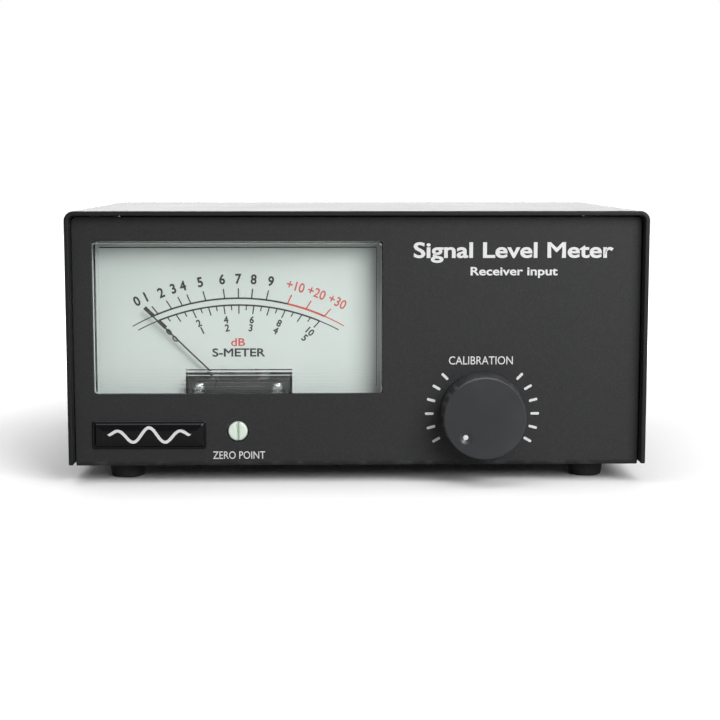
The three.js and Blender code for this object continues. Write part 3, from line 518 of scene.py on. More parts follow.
class Paint:
    def __init__(self, name):
        self.material = bpy.data.materials.new(name)
        self.material.use_nodes = True
        self.tree = self.material.node_tree
        self.tree.nodes.clear()

    def node(self, kind, settings=None, inputs=None, output=0):
        made = self.tree.nodes.new(kind)
        for key, value in (settings or {}).items():
            setattr(made, key, value)
        for key, value in (inputs or {}).items():
            if isinstance(value, Value):
                self.tree.links.new(value.socket, made.inputs[key])
            else:
                made.inputs[key].default_value = value
        return Value(self, made.outputs[output])

    def place(self):
        return self.node("ShaderNodeTexCoord", output="Object")

    def axis(self, name):
        return self.node("ShaderNodeSeparateXYZ", None, {0: self.place()}, name)

    def noise(self, scale, detail=2.0, rough=0.5, stretch=None):
        point = self.place()
        if stretch:
            point = self.node("ShaderNodeMapping", None, {"Vector": point, "Scale": stretch})
        return self.node("ShaderNodeTexNoise", None, {
            "Vector": point, "Scale": scale, "Detail": detail, "Roughness": rough,
        })

    def between(self, value, low, high):
        # 0 below low and 1 above high, smooth in the middle
        return self.node("ShaderNodeMapRange", {"interpolation_type": "SMOOTHSTEP"}, {
            "Value": value, "From Min": low, "From Max": high,
        })

    def blend(self, share, first, second):
        def colour(c):
            return c if isinstance(c, Value) else (*c, 1)
        values = {0: share, 6: colour(first), 7: colour(second)}
        return self.node("ShaderNodeMix", {"data_type": "RGBA"}, values, 2)

    def edge(self):
        return self.node("ShaderNodeAttribute", {"attribute_name": "edge"}, output="Fac")

    def bump(self, height, strength, distance):
        return self.node("ShaderNodeBump", None, {
            "Height": height, "Strength": strength, "Distance": distance * unit,
        }, "Normal")

    def principled(self, colour, **sockets):
        inputs = {"Base Color": colour if isinstance(colour, Value) else (*colour, 1)}
        inputs.update({key.replace("_", " "): value for key, value in sockets.items()})
        return self.node("ShaderNodeBsdfPrincipled", None, inputs)

    def done(self, shader):
        end = self.tree.nodes.new("ShaderNodeOutputMaterial")
        self.tree.links.new(shader.socket, end.inputs["Surface"])
        return self.material


def powderCoat():
    look = {
        "colour": (0.018, 0.0183, 0.0195),
        "pale": (0.031, 0.0313, 0.033),
        "worn": (0.075, 0.076, 0.08),
        # painted shade colour for the cover's front edge
        "rim": (0.008, 0.008, 0.009),
        "shadedRimFrom": 0.2,
        "shadedRimTo": 1.4,
        "rough": 0.5,
        "grain": 2300,
    }
    p = Paint("powderCoat")
    grain = p.noise(look["grain"], 3, 0.62)
    cloud = p.noise(45, 2)
    worn = p.edge() * p.between(p.noise(260, 3), 0.5, 0.72)
    speckle = p.between(grain, 0.42, 0.72)
    colour = p.blend(speckle * 0.55 + cloud * 0.25, look["colour"], look["pale"])
    colour = p.blend(worn * 0.45, colour, look["worn"])
    # painted shade: the cover's front edge is painted in the darker rim colour, as if in shade, though it
    # has the same paint as its faces
    pastShadedRim = p.between(
        p.axis("Y"), (coverLow.y + look["shadedRimFrom"]) * unit, (coverLow.y + look["shadedRimTo"]) * unit)
    colour = p.blend(pastShadedRim, look["rim"], colour)
    rough = look["rough"] + (grain - 0.5) * 0.22 + (cloud - 0.5) * 0.08 - worn * 0.08
    surface = p.bump(grain, 0.38, 0.05)
    return p.done(p.principled(colour, Roughness=rough, Specular_IOR_Level=0.3, Normal=surface))


def moulded(name, colour, rough=0.4, grain=900, depth=0.02, strength=0.25, varied=0.15, **more):
    # plain moulded plastic or rubber with a faint grain
    p = Paint(name)
    fine = p.noise(grain, 3, 0.6)
    broad = p.noise(70, 2)
    lighter = [min(1, c * (1 + varied) + 0.004) for c in colour]
    shade = p.blend(p.between(broad, 0.35, 0.7), colour, lighter)
    surface = rough + (fine - 0.5) * 0.14 + (broad - 0.5) * 0.1
    return p.done(p.principled(shade, Roughness=surface, Normal=p.bump(fine, strength, depth), **more))


def plainMetal(name, colour, rough=0.28, grain=600, stretch=None, dark=0.55):
    p = Paint(name)
    streak = p.noise(grain, 3, 0.6, stretch)
    stain = p.noise(90, 3, 0.6)
    shade = p.blend(p.between(stain, 0.45, 0.75) * (1 - dark), colour, [c * dark for c in colour])
    surface = rough + (streak - 0.5) * 0.16 + (stain - 0.5) * 0.12
    return p.done(p.principled(shade, Metallic=1.0, Roughness=surface, Normal=p.bump(streak, 0.2, 0.01)))


def turnedKnob():
    # satin black with a fine lathe pattern round the knob's axis, and a painted highlight on its slanted
    # faces
    centre = middle("knob") * unit
    p = Paint("turnedKnob")
    across = p.axis("X") - centre.x
    up = p.axis("Z") - centre.z
    radius = (across * across + up * up) ** 0.5
    rings = p.node("ShaderNodeMath", {"operation": "SINE"}, {0: radius * 26000})
    fine = p.noise(1500, 3, 0.6)
    broad = p.noise(60, 2)
    shade = p.blend(p.between(broad, 0.35, 0.7), (0.030, 0.031, 0.034), (0.042, 0.043, 0.046))
    # painted highlight: the slanted faces marked as edge (chamfers, sides and dimple) are painted lighter
    shade = p.blend(p.edge() * 0.35, shade, (0.085, 0.085, 0.09))
    surface = 0.36 + (fine - 0.5) * 0.16 + (broad - 0.5) * 0.06
    height = rings * 0.5 + fine
    return p.done(p.principled(shade, Metallic=0.25, Roughness=surface, Normal=p.bump(height, 0.16, 0.02)))


def glossBadge():
    p = Paint("glossBadge")
    ripple = p.noise(120, 2)
    dust = p.noise(2600, 2)
    return p.done(p.principled(
        p.blend(p.between(dust, 0.55, 0.8), (0.004, 0.004, 0.005), (0.009, 0.009, 0.010)),
        Roughness=0.14 + p.between(dust, 0.5, 0.9) * 0.12, Normal=p.bump(ripple, 0.08, 0.05),
        Specular_IOR_Level=0.25,
    ))


def dialEnamel():
    p = Paint("dialEnamel")
    tooth = p.noise(3200, 3, 0.6)
    broad = p.noise(35, 2)
    shade = p.blend(p.between(broad, 0.3, 0.75), (0.66, 0.70, 0.685), (0.70, 0.73, 0.715))
    surface = 0.62 + (tooth - 0.5) * 0.1
    return p.done(p.principled(shade, Roughness=surface, Normal=p.bump(tooth, 0.06, 0.01)))


def ink(name, colour):
    p = Paint(name)
    worn = p.noise(1500, 3, 0.6)
    shade = p.blend(p.between(worn, 0.5, 0.8) * 0.3, colour, [min(1, c * 1.25 + 0.02) for c in colour])
    return p.done(p.principled(shade, Roughness=0.5 + (worn - 0.5) * 0.2, Normal=p.bump(worn, 0.08, 0.01)))


def clearPlastic(name, tint, rough=0.015):
    # clear to the camera and to the lamps alike, so that what is behind it is lit
    p = Paint(name)
    smear = p.noise(60, 3, 0.6)
    glass = p.principled(
        tint, Roughness=rough + p.between(smear, 0.5, 0.8) * 0.02, IOR=1.49, Transmission_Weight=1.0,
        Normal=p.bump(smear, 0.012, 0.1),
    )
    through = p.node("ShaderNodeBsdfTransparent", None, {"Color": (*[c ** 0.5 for c in tint], 1)})
    rays = p.node("ShaderNodeLightPath", output="Is Shadow Ray")
    bounce = p.node("ShaderNodeLightPath", output="Is Diffuse Ray")
    lamps = p.node("ShaderNodeMath", {"operation": "MAXIMUM"}, {0: rays, 1: bounce})
    return p.done(p.node("ShaderNodeMixShader", None, {0: lamps, 1: glass, 2: through}))


def boardLacquer():
    p = Paint("boardLacquer")
    weave = p.noise(1800, 2, 0.5, (1, 0.25, 1)) * 0.5 + p.noise(1800, 2, 0.5, (0.25, 1, 1)) * 0.5
    cells = {"feature": "DISTANCE_TO_EDGE", "distance": "CHEBYCHEV"}
    gaps = p.node("ShaderNodeTexVoronoi", cells, {"Vector": p.place(), "Scale": 190})
    tracks = p.between(gaps, 0.06, 0.1)
    shade = p.blend(tracks, (0.035, 0.20, 0.075), (0.016, 0.12, 0.04))
    return p.done(p.principled(
        shade, Roughness=0.3 + weave * 0.12, Coat_Weight=0.3, Coat_Roughness=0.12,
        Normal=p.bump(weave * 0.5 + (1 - tracks), 0.3, 0.03),
    ))


def laminate():
    p = Paint("laminate")
    grain = p.noise(420, 4, 0.6, (1, 1, 0.2))
    shade = p.blend(p.between(grain, 0.35, 0.7), (0.20, 0.10, 0.045), (0.33, 0.19, 0.09))
    return p.done(p.principled(shade, Roughness=0.5 + (grain - 0.5) * 0.2, Normal=p.bump(grain, 0.2, 0.02)))


finishes = {
    "coat": powderCoat(),
    "rubber": moulded("footRubber", (0.016, 0.016, 0.017), 0.72, 1300, 0.05, 0.4),
    "blackOxide": plainMetal("blackOxide", (0.045, 0.045, 0.048), 0.36, 1500, None, 0.5),
    "nickel": plainMetal("nickel", (0.74, 0.75, 0.76), 0.2, 1500),
    "zinc": plainMetal("zincPlate", (0.60, 0.61, 0.60), 0.34, 400, (1, 1, 6)),
    "brass": plainMetal("brass", (0.78, 0.58, 0.28), 0.3, 900),
    "copper": plainMetal("enamelledCopper", (0.72, 0.25, 0.10), 0.26, 2500, None, 0.6),
    "iron": plainMetal("softIron", (0.25, 0.25, 0.26), 0.5, 700),
    "magnet": plainMetal("groundAlloy", (0.38, 0.38, 0.39), 0.42, 500, (1, 8, 1)),
    "blackPlastic": moulded("blackPlastic", (0.022, 0.022, 0.023), 0.42),
    "whitePlastic": moulded("whitePlastic", (0.70, 0.73, 0.70), 0.42, Subsurface_Weight=0.1),
    "nylon": moulded("naturalNylon", (0.60, 0.68, 0.60), 0.3, 700, 0.02, 0.15, Subsurface_Weight=0.5,
                     Subsurface_Radius=(0.0012, 0.0014, 0.0012), Subsurface_Scale=1.0),
    "pointer": moulded("pointerBlack", (0.006, 0.006, 0.006), 0.55),
    "knob": turnedKnob(),
    "badge": glossBadge(),
    "dial": dialEnamel(),
    "inkBlack": ink("inkBlack", (0.012, 0.012, 0.013)),
    "inkRed": ink("inkRed", (0.62, 0.075, 0.05)),
    "inkWhite": ink("inkWhite", (0.66, 0.66, 0.66)),
    "clear": clearPlastic("clearPlastic", (0.955, 0.985, 0.97)),
    "lampGlass": clearPlastic("lampGlass", (0.99, 0.97, 0.93)),
    "board": boardLacquer(),
    "laminate": laminate(),
    "solder": plainMetal("solder", (0.62, 0.62, 0.64), 0.25, 1200),
    "resistor": moulded("resistorBody", (0.55, 0.42, 0.26), 0.35),
    "capacitor": moulded("capacitorSleeve", (0.02, 0.035, 0.12), 0.25),
    "wireRed": moulded("wireRed", (0.45, 0.02, 0.015), 0.35),
    "wireBlack": moulded("wireBlack", (0.02, 0.02, 0.02), 0.35),
    "wireYellow": moulded("wireYellow", (0.62, 0.42, 0.03), 0.35),
    "wireWhite": moulded("wireWhite", (0.65, 0.65, 0.62), 0.35),
}
print("finishes ready")


def makeFloor():
    # paler to the camera than to the object; to the camera it glows white of its own outside a circle round
    # a point right of the object's middle, which whitens the far floor and, as painted light, hides the
    # object's shadow on its left
    p = Paint("paleFloor")
    seen = p.node("ShaderNodeLightPath", output="Is Camera Ray")
    tone = p.blend(seen, studio["floorBounce"], studio["floorWhite"])
    centre, near, far = studio["glowCentre"], studio["glowNear"] * unit, studio["glowFar"] * unit
    away = p.node("ShaderNodeVectorMath", {"operation": "DISTANCE"}, {
        0: p.place(), 1: Vector(centre) * unit,
    }, "Value")
    glow = p.blend(seen * p.between(away, near, far), (0, 0, 0), (1, 1, 1))
    finish = p.done(p.principled(tone, Roughness=0.9, Specular_IOR_Level=0.2,
                                 Emission_Color=glow, Emission_Strength=1.0))
    half = studio["floorSize"] / 2
    corners = [(-half, -half, 0), (half, -half, 0), (half, half, 0), (-half, half, 0)]
    mesh = meshOf(corners, [(0, 1, 2, 3)])
    mesh.materials.append(finish)
    floor = bpy.data.objects.new("floor", mesh)
    scene.collection.objects.link(floor)


makeFloor()


# Case

sheetWork = {
    "bend": 1.9,
    "chassisBend": 0.9,
    "brokenEdge": 0.28,
    "thinEdge": 0.12,
    "panelCorner": 1.5,
    "windowGap": 0.25,
    "windowCorner": 0.9,
    "adjusterHole": 2.8,
    "bushingHole": 3.7,
    "signalHole": 3.2,
    "powerHole": 4.2,
    "tabHalf": 6,
    "tabLow": 0.4,
    "tabOver": 5.5,
}

def foldedSheet(path, low, high, bend, stand):
    # path is the sheet's middle line; stand places the sheet's width along Y or X
    width = high - low
    made = grown(lineMesh([(a, b, 0) for a, b in path]), trees["fold"], {
        "Sheet": sheet * unit, "Width": width * unit, "Bend": bend * unit, "Finish": finishes["coat"],
    })
    centre = (low + high) / 2
    if stand == "Y":
        return faceOutwards(moved(made, (0, centre, 0), (90, 0, 0)))
    turned = Matrix(((0, 0, 1, centre * unit), (1, 0, 0, 0), (0, 1, 0, 0), (0, 0, 0, 1)))
    made.transform(turned)
    return faceOutwards(made)


def makeCover():
    half = sheet / 2
    left, right, top = coverLow.x + half, coverHigh.x - half, coverHigh.z - half
    path = [(left, coverLow.z), (left, top), (right, top), (right, coverLow.z)]
    mesh = foldedSheet(path, coverLow.y, coverHigh.y, sheetWork["bend"], "Y")
    show("caseCover", bevelled(mesh, sheetWork["brokenEdge"], 3, 50), "coat", "case",
         ["cover"], 30)


def makeChassis():
    half = sheet / 2
    front, back, low, top = panelFace + half, rearFace - half, chassisLow.z + half, chassisHigh.z
    path = [(front, top), (front, low), (back, low), (back, top)]
    mesh = foldedSheet(path, chassisLow.x, chassisHigh.x, sheetWork["chassisBend"], "X")
    low, high, radius = chassisLow.z - 9, chassisHigh.z, sheetWork["panelCorner"]
    upright = rounded([
        (chassisLow.x, low), (chassisHigh.x, low),
        (chassisHigh.x, high, radius), (chassisLow.x, high, radius),
    ])
    mesh = combined(mesh, prism(upright, panelFace - 5, rearFace + 5), "INTERSECT")

    gap = sheetWork["windowGap"]
    lensLow, lensHigh = windowFace()
    window = roundedBox((lensLow.x - gap, lensLow.z - gap), (lensHigh.x + gap, lensHigh.z + gap),
                        sheetWork["windowCorner"], 8)
    holes = [prism(window, panelFace - 2, panelFace + 4)]
    for node, hole, at in (("zero_adjuster", "adjusterHole", panelFace), ("knob", "bushingHole", panelFace),
                           ("signal_jack_nut", "signalHole", rearFace),
                           ("power_jack_nut", "powerHole", rearFace)):
        place = middle(node)
        holes.append(moved(rod(sheetWork[hole], at - 3, at + 3, 48), (place.x, 0, place.z)))
    mesh = combined(mesh, joined(*holes))

    # tabs up the sides, which the cover screws go into
    tabs = []
    for side in ("left", "right"):
        for row in ("front", "rear"):
            screw = middle(f"cover_screw_{row}_{side}")
            x = chassisLow.x if side == "left" else chassisHigh.x - sheet
            tab = roundedBox((screw.y - sheetWork["tabHalf"], chassisLow.z + sheetWork["tabLow"]),
                             (screw.y + sheetWork["tabHalf"], screw.z + sheetWork["tabOver"]), 0)
            tabs.append(prism(tab, x, x + sheet, "X"))
    mesh = combined(mesh, joined(*tabs), "UNION")
    show("caseChassis", bevelled(mesh, sheetWork["thinEdge"], 2, 40), "coat", "case",
         ["chassis"], 30)


windowLook = {"toLeft": 37.0, "toRight": 37.5, "foot": 23.8, "head": 62.95}


def windowFace():
    # the raised window's outline, from the lens and the opening that it fills
    face = span("meter_lens")[0].y
    centre = middle("meter_lens").x
    return (Vector((centre - windowLook["toLeft"], face, windowLook["foot"])),
            Vector((centre + windowLook["toRight"], face, windowLook["head"])))


footLook = {"toe": 4.3, "recess": 3.3, "seat": 2.6, "bore": 1.6}


def makeFeet():
    low, high = span("foot_front_right")
    toe, recess, seat, bore = footLook["toe"], footLook["recess"], footLook["seat"], footLook["bore"]
    brim = (high.x - low.x) / 2 + 0.1
    profile = rounded([
        (recess, 0, 0.2), (toe, 0, 0.5), (brim, high.z, 0.25), (bore, high.z), (bore, seat),
        (recess, seat, 0.2),
    ])
    foot = moved(spun(profile, 48, closed=True), turn=(90, 0, 0))
    spots, names = [], []
    for row in ("front", "rear"):
        for side in ("left", "right"):
            name = f"foot_{row}_{side}"
            place = middle(name)
            spots.append(((place.x, place.y, 0), (0, 0, 0), (1, 1, 1)))
            names.append(name)
    show("rubberFeet", repeated(foot, spots, "rubber"), "rubber", "case", names)


def crossHeadScrew(headRadius, headHeight, shankRadius, length, pitch=0.5, sides=28):
    # the head's outer face is at 0 and the tip is at +Y
    crown = rounded([
        (0, 0), (headRadius * 0.62, 0.02), (headRadius, headHeight * 0.55, headRadius * 0.3),
        (headRadius, headHeight, 0.06), (shankRadius, headHeight),
    ], 5)
    profile = [tuple(p) for p in crown[:-1]] + [(shankRadius, headHeight)]
    along = headHeight + pitch
    while along + pitch < headHeight + length:
        profile += [(shankRadius, along), (shankRadius - pitch * 0.45, along + pitch / 2)]
        along += pitch
    profile += [(shankRadius * 0.8, headHeight + length), (0, headHeight + length)]
    head = spun(profile, sides)
    arm, blade, deep = headRadius * 0.55, headRadius * 0.13, headHeight * 0.62
    cuts = []
    for turn in (0, 90):
        rows = []
        for y, share in ((-0.2, 1.05), (deep, 0.55)):
            a, b = arm * share, blade * share
            rows.append([(-a, y, -b), (a, y, -b), (a, y, b), (-a, y, b)])
        cuts.append(moved(loft(rows), turn=(0, turn, 0)))
    return combined(combined(head, cuts[0]), cuts[1])


def makeCoverScrews():
    low, high = span("cover_screw_front_right")
    spots, names = [], []
    stand = 1.6
    for side, turn, x in (("left", -90, coverLow.x - stand), ("right", 90, coverHigh.x + stand)):
        for i, row in enumerate(("front", "rear")):
            name = f"cover_screw_{row}_{side}"
            place = middle(name)
            spots.append(((x, place.y, place.z), (0, 31 * i + 12, turn), (1, 1, 1)))
            names.append(name)
    screw = crossHeadScrew((high.y - low.y) / 2, stand, 1.4, 5)
    show("coverScrews", repeated(screw, spots, "blackOxide"), "blackOxide", "case",
         names)


def makeFootScrews():
    headEnd = span("foot_screw_front_right")[0].z
    spots, names = [], []
    for i, row in enumerate(("front", "rear")):
        for side in ("left", "right"):
            name = f"foot_screw_{row}_{side}"
            place = middle(name)
            spots.append(((place.x, place.y, headEnd), (90, 0, 20 + 33 * i), (1, 1, 1)))
            names.append(name)
    screw = crossHeadScrew(2.7, 1.7, 1.4, 6)
    show("footScrews", repeated(screw, spots, "nickel"), "nickel", "case",
         names)


badgeLook = {"rim": 0.45, "wave": 2.0, "stroke": 0.78, "cycles": 2.5}


def makeBadge():
    low, high = span("front_badge")
    base = high.y
    rise = [(0, 0), (0, 0.30), (0.12, 0.42), (badgeLook["rim"], 0.42), (badgeLook["rim"] + 0.08, 0.30),
            (badgeLook["rim"] + 0.2, 0.32), (0.9, 0.62), (1.3, 0.76), (1.8, 0.87), (2.4, 0.94), (3.0, 0.98)]
    loops = []
    for inset, up in rise:
        radius = max(0.55 - inset * 0.5, 0.25)
        ring = roundedBox((low.x + inset, low.z + inset), (high.x - inset, high.z - inset), radius, 5)
        loops.append([(x, base - up, z) for x, z in ring])
    show("frontBadge", loft(loops), "badge", "case", ["front_badge"], 40)

    # generic motif: a sine wave that fades out at both ends
    centre = middle("front_badge")
    face = base - 0.99
    reach = (high.x - low.x) / 2 - 4.2
    steps = 96
    upper, lower = [], []
    for i in range(steps + 1):
        share = i / steps
        x = centre.x - reach + 2 * reach * share
        swing = 2 * math.pi * badgeLook["cycles"] * share
        z = centre.z + badgeLook["wave"] * math.sin(swing) * math.sin(math.pi * share) ** 0.5
        slope = badgeLook["wave"] * math.cos(swing) * math.pi * badgeLook["cycles"] / reach
        across = Vector((-slope, 1)).normalized() * badgeLook["stroke"] / 2
        upper.append((x + across.x, z + across.y))
        lower.append((x - across.x, z - across.y))
    wave = prism(upper + lower[::-1], face - 0.02, face + 0.2)
    show("badgeWave", wave, "inkWhite", "case", smooth=20)


makeCover()
makeChassis()
makeFeet()
makeCoverScrews()
makeFootScrews()
makeBadge()
print("case ready")


# Printing

def thicken(work, weight):
    # moves the outline of flat letters outwards, each corner along the middle of its two sides
    shifts = {}
    for edge in work.edges:
        if len(edge.link_faces) != 1:
            continue
        first, second = edge.verts
        across = (second.co - first.co).cross(Vector((0, 0, 1))).normalized()
        if across.dot(edge.link_faces[0].calc_center_median() - first.co) > 0:
            across = -across
        for v in edge.verts:
            shifts.setdefault(v, []).append(across)
    for v, sides in shifts.items():
        way = sum(sides, Vector()) / len(sides)
        v.co += way * weight / max(way.length_squared, 0.35)


def flatLetters(words):
    face = bpy.data.curves.new("letters", "FONT")
    face.body = words
    face.size = 1
    face.resolution_u = 4
    made = bpy.data.objects.new("letters", face)
    scene.collection.objects.link(made)
    mesh = asMesh(made)
    bpy.data.objects.remove(made)
    return mesh


def lettering(words, box, depth, weight=0.0, turn=0, centre=None, tall=None, squeeze=1.0):
    # words fitted to box (left, right, lowest point, height), or standing tall round centre
    mesh = flatLetters(words)
    xs = [v.co.x for v in mesh.vertices]
    ys = [v.co.y for v in mesh.vertices]
    if box:
        left, right, lowest, height = box
        grow = ((right - left) / (max(xs) - min(xs)), height / (max(ys) - min(ys)))
        start = (left - min(xs) * grow[0], lowest - min(ys) * grow[1])
    else:
        rise = tall / (max(ys) - min(ys))
        grow = (rise * squeeze, rise)
        start = (-(max(xs) + min(xs)) / 2 * grow[0], -(max(ys) + min(ys)) / 2 * grow[1])
    work = bmesh.new()
    work.from_mesh(mesh)
    bmesh.ops.remove_doubles(work, verts=work.verts, dist=0.002)
    thicken(work, weight)
    for v in work.verts:
        v.co = Vector((v.co.x * grow[0] + start[0], 0, v.co.y * grow[1] + start[1])) * unit
    if centre:
        spot = Matrix.Translation(Vector((centre[0], 0, centre[1])) * unit)
        spot = spot @ Matrix.Rotation(math.radians(turn), 4, "Y")
        bmesh.ops.transform(work, matrix=spot, verts=work.verts)
    bmesh.ops.translate(work, vec=Vector((0, depth[0], 0)) * unit, verts=work.verts)
    raised = bmesh.ops.extrude_face_region(work, geom=list(work.faces))
    lifted = [g for g in raised["geom"] if isinstance(g, bmesh.types.BMVert)]
    bmesh.ops.translate(work, vec=Vector((0, depth[1] - depth[0], 0)) * unit, verts=lifted)
    bmesh.ops.recalc_face_normals(work, faces=work.faces)
    result = bpy.data.meshes.new("letters")
    work.to_mesh(result)
    work.free()
    return result


def tickMarks(marks, width, face, depth, finish):
    # marks are (x, z, degrees clockwise from upright, length)
    cube = block((-0.5, -0.5, -0.5), (0.5, 0.5, 0.5))
    spots = []
    for x, z, angle, length in marks:
        wide = width if not isinstance(width, dict) else width[length]
        spots.append(((x, face, z), (0, angle, 0), (wide, depth, length)))
    return repeated(cube, spots, finish)


panelPrint = {
    "heading": ("Signal Level Meter", (14.6, 66.0, 57.7, 5.1), 0.024),
    "subtitle": ("Receiver input", (29.3, 51.7, 53.7, 2.75), 0.022),
    "knobLabel": ("CALIBRATION", (23.75, 40.4, 31.1, 2.15), 0.0),
    "zeroLabel": ("ZERO POINT", (-37.8, -24.2, 6.4, 2.0), 0.0),
    "thickness": 0.04,
    "tickRadius": 13.8,
    "tickLength": 2.25,
    "tickWidth": 0.68,
    "tickAngles": [45 + 15 * i for i in range(6)],  # from upright, to either side
}


def makePanelPrint():
    face = panelFace
    depth = (face - panelPrint["thickness"], face + 0.01)
    for name in ("heading", "subtitle", "knobLabel", "zeroLabel"):
        words, box, weight = panelPrint[name]
        show("print_" + name, lettering(words, box, depth, weight), "inkWhite", "case",
             smooth=20)
    knob = middle("knob")
    length, width, reach = panelPrint["tickLength"], panelPrint["tickWidth"], panelPrint["tickRadius"]
    tick = prism(roundedBox((-width / 2, -length / 2), (width / 2, length / 2), width * 0.42, 5),
                 -panelPrint["thickness"], 0.01)
    spots = []
    for angle in panelPrint["tickAngles"]:
        for side in (-1, 1):
            turn = side * angle
            way = math.radians(turn)
            place = (knob.x + reach * math.sin(way), face, knob.z + reach * math.cos(way))
            spots.append((place, (0, turn, 0), (1, 1, 1)))
    show("print_knobTicks", repeated(tick, spots, "inkWhite"), "inkWhite", "case",
         smooth=20)


makePanelPrint()
print("panel printing ready")


# Meter

dialLow, dialHigh = span("dial_plate")
pivotX = (dialLow.x + dialHigh.x) / 2
pivotZ = middle("front_jewel_screw").z
scaleLook = {
    "radius": 55.9,
    "upperApex": 47.95,
    "lowerApex": 46.15,
    "ends": (-27.75, 27.75),
    "thick": 0.44,
    "thin": 0.28,
    "depth": 0.03,
    "zero": -45.9,
    "full": 46.6,
    "upperTick": 2.6,
    "lean": 0.6,
    "lowerTicks": {2.3: 0.32, 1.35: 0.3},
    "redFrom": 27.6,
    "upper": [("1", -43.6), ("2", -36.7), ("3", -31.1), ("4", -26.6), ("5", -18.4), ("6", -7.8),
              ("7", 0.1), ("8", 7.6), ("9", 15.9), ("+10", 27.6), ("+20", 37.25), ("+30", 46.5)],
}


def arcMeets(apex, angle):
    # where a line from the pivot crosses a scale's arc
    radius = scaleLook["radius"]
    way = Vector((math.sin(math.radians(angle)), math.cos(math.radians(angle))))
    offset = pivotZ - (apex - radius)
    along = -offset * way.y + math.sqrt((offset * way.y) ** 2 - offset ** 2 + radius ** 2)
    return way.x * along, pivotZ + way.y * along


def arcBand(apex, left, right, width, face, steps=60):
    radius = scaleLook["radius"]
    centre = apex - radius
    inner, outer = [], []
    for i in range(steps + 1):
        x = left + (right - left) * i / steps
        angle = math.asin(x / radius)
        for line, reach in ((inner, radius - width / 2), (outer, radius + width / 2)):
            line.append((pivotX + reach * math.sin(angle), centre + reach * math.cos(angle)))
    return prism(outer + inner[::-1], face - scaleLook["depth"], face + 0.01)


def bar(x, z, angle, length, width, face):
    # a printed bar that starts at x, z and runs outwards
    way = Vector((math.sin(math.radians(angle)), math.cos(math.radians(angle))))
    side = Vector((way.y, -way.x)) * width / 2
    start, end = Vector((x, z)), Vector((x, z)) + way * length
    corners = [start - side, start + side, end + side, end - side]
    return prism(corners, face - scaleLook["depth"], face + 0.01)


def makeDialPrint():
    face = dialLow.y
    look = scaleLook
    upper, lower = look["upperApex"], look["lowerApex"]
    zeroUp, zeroDown = arcMeets(upper, look["zero"]), arcMeets(lower, look["zero"])
    tenUp, endUp = arcMeets(upper, look["redFrom"]), arcMeets(upper, look["full"])
    endDown = arcMeets(lower, look["full"])
    left, right = look["ends"]
    black = [
        arcBand(upper, left, zeroUp[0], look["thin"], face, 8),
        arcBand(upper, zeroUp[0], tenUp[0], look["thick"], face),
        arcBand(lower, left + 1.4, zeroDown[0], look["thin"], face, 8),
        arcBand(lower, zeroDown[0], endDown[0], look["thick"], face),
        arcBand(lower, endDown[0], right - 1.4, look["thin"], face, 8),
        bar(zeroUp[0] + pivotX, zeroUp[1], look["zero"], 3.2, 1.0, face),
        bar(zeroDown[0] + pivotX, zeroDown[1], look["zero"] + 180, 2.7, 1.0, face),
    ]
    red = [
        arcBand(upper, tenUp[0], endUp[0], look["thick"] + 0.08, face),
        arcBand(upper, endUp[0], right, look["thin"], face, 8),
    ]
    depth = (face - look["depth"], face + 0.01)

    def numeral(words, apex, angle, away, tall, weight=0.03, squeeze=0.92):
        x, z = arcMeets(apex, angle)
        turn = math.radians(angle * 0.9)
        spot = (x + pivotX + away * math.sin(turn), z + away * math.cos(turn))
        lean = angle * (look["lean"] if away > 0 else 0.9)
        return lettering(words, None, depth, weight, lean, spot, tall, squeeze)

    blackTicks, redTicks = [], []
    for words, angle in look["upper"]:
        x, z = arcMeets(upper, angle)
        lean = angle * 0.88
        half = look["upperTick"] / 2
        mark = (x + pivotX + half * math.sin(math.radians(lean)), z + half * math.cos(math.radians(lean)),
                lean, look["upperTick"])
        strong = words.startswith("+")
        (redTicks if strong else blackTicks).append(mark)
        away = 5.15 if strong else 5.1
        weight = 0.012 if strong else 0.03
        if words == "1":
            angle, away = angle + 0.6, 5.6
        numerals = red if strong else black
        numerals.append(numeral(words, upper, angle, away, 2.45, weight, squeeze=0.9))
    black.append(numeral("0", upper, look["zero"] - 1.0, 5.6, 2.45, 0.03, squeeze=0.9))

    lowerTicks = []
    for i in range(1, 21):
        angle = look["zero"] + (look["full"] - look["zero"]) * i / 20
        x, z = arcMeets(lower, angle)
        lean = math.radians(angle * 0.9)
        length = 1.35 if i % 2 else 2.3
        lowerTicks.append((x + pivotX - length / 2 * math.sin(lean), z - length / 2 * math.cos(lean),
                           math.degrees(lean), length))
        if i % 4 == 0:
            black.append(numeral(str(i // 2), lower, angle, -3.8, 1.8))
            black.append(numeral(str(i // 4), lower, angle, -5.95, 1.8))
    black.append(numeral("0", lower, look["zero"] + 0.2, -4.0, 1.8))
    black.append(numeral("0", lower, look["zero"] + 0.2, -6.4, 1.8))
    black.append(lettering("S-METER", (-38.1, -24.4, 32.55, 2.1), depth, 0.024))
    red.append(lettering("dB", (-33.2, -29.6, 35.35, 2.0), depth, 0.014))

    middleY = face - look["depth"] / 2
    black.append(tickMarks(blackTicks, 0.32, middleY, look["depth"], "inkBlack"))
    black.append(tickMarks(lowerTicks, look["lowerTicks"], middleY, look["depth"], "inkBlack"))
    red.append(tickMarks(redTicks, 0.34, middleY, look["depth"], "inkRed"))
    show("dialPrintBlack", joined(*black), "inkBlack", "case", smooth=20)
    show("dialPrintRed", joined(*red), "inkRed", "case", smooth=20)


def makeDial():
    show("dialPlate", softened("dial_plate", 0.08), "dial", "case", ["dial_plate"])
    makeDialPrint()


lensLook = {"wall": 1.45, "front": 1.8, "edge": 0.45, "ribs": 5, "ribPitch": 0.95, "ribDepth": 0.13}


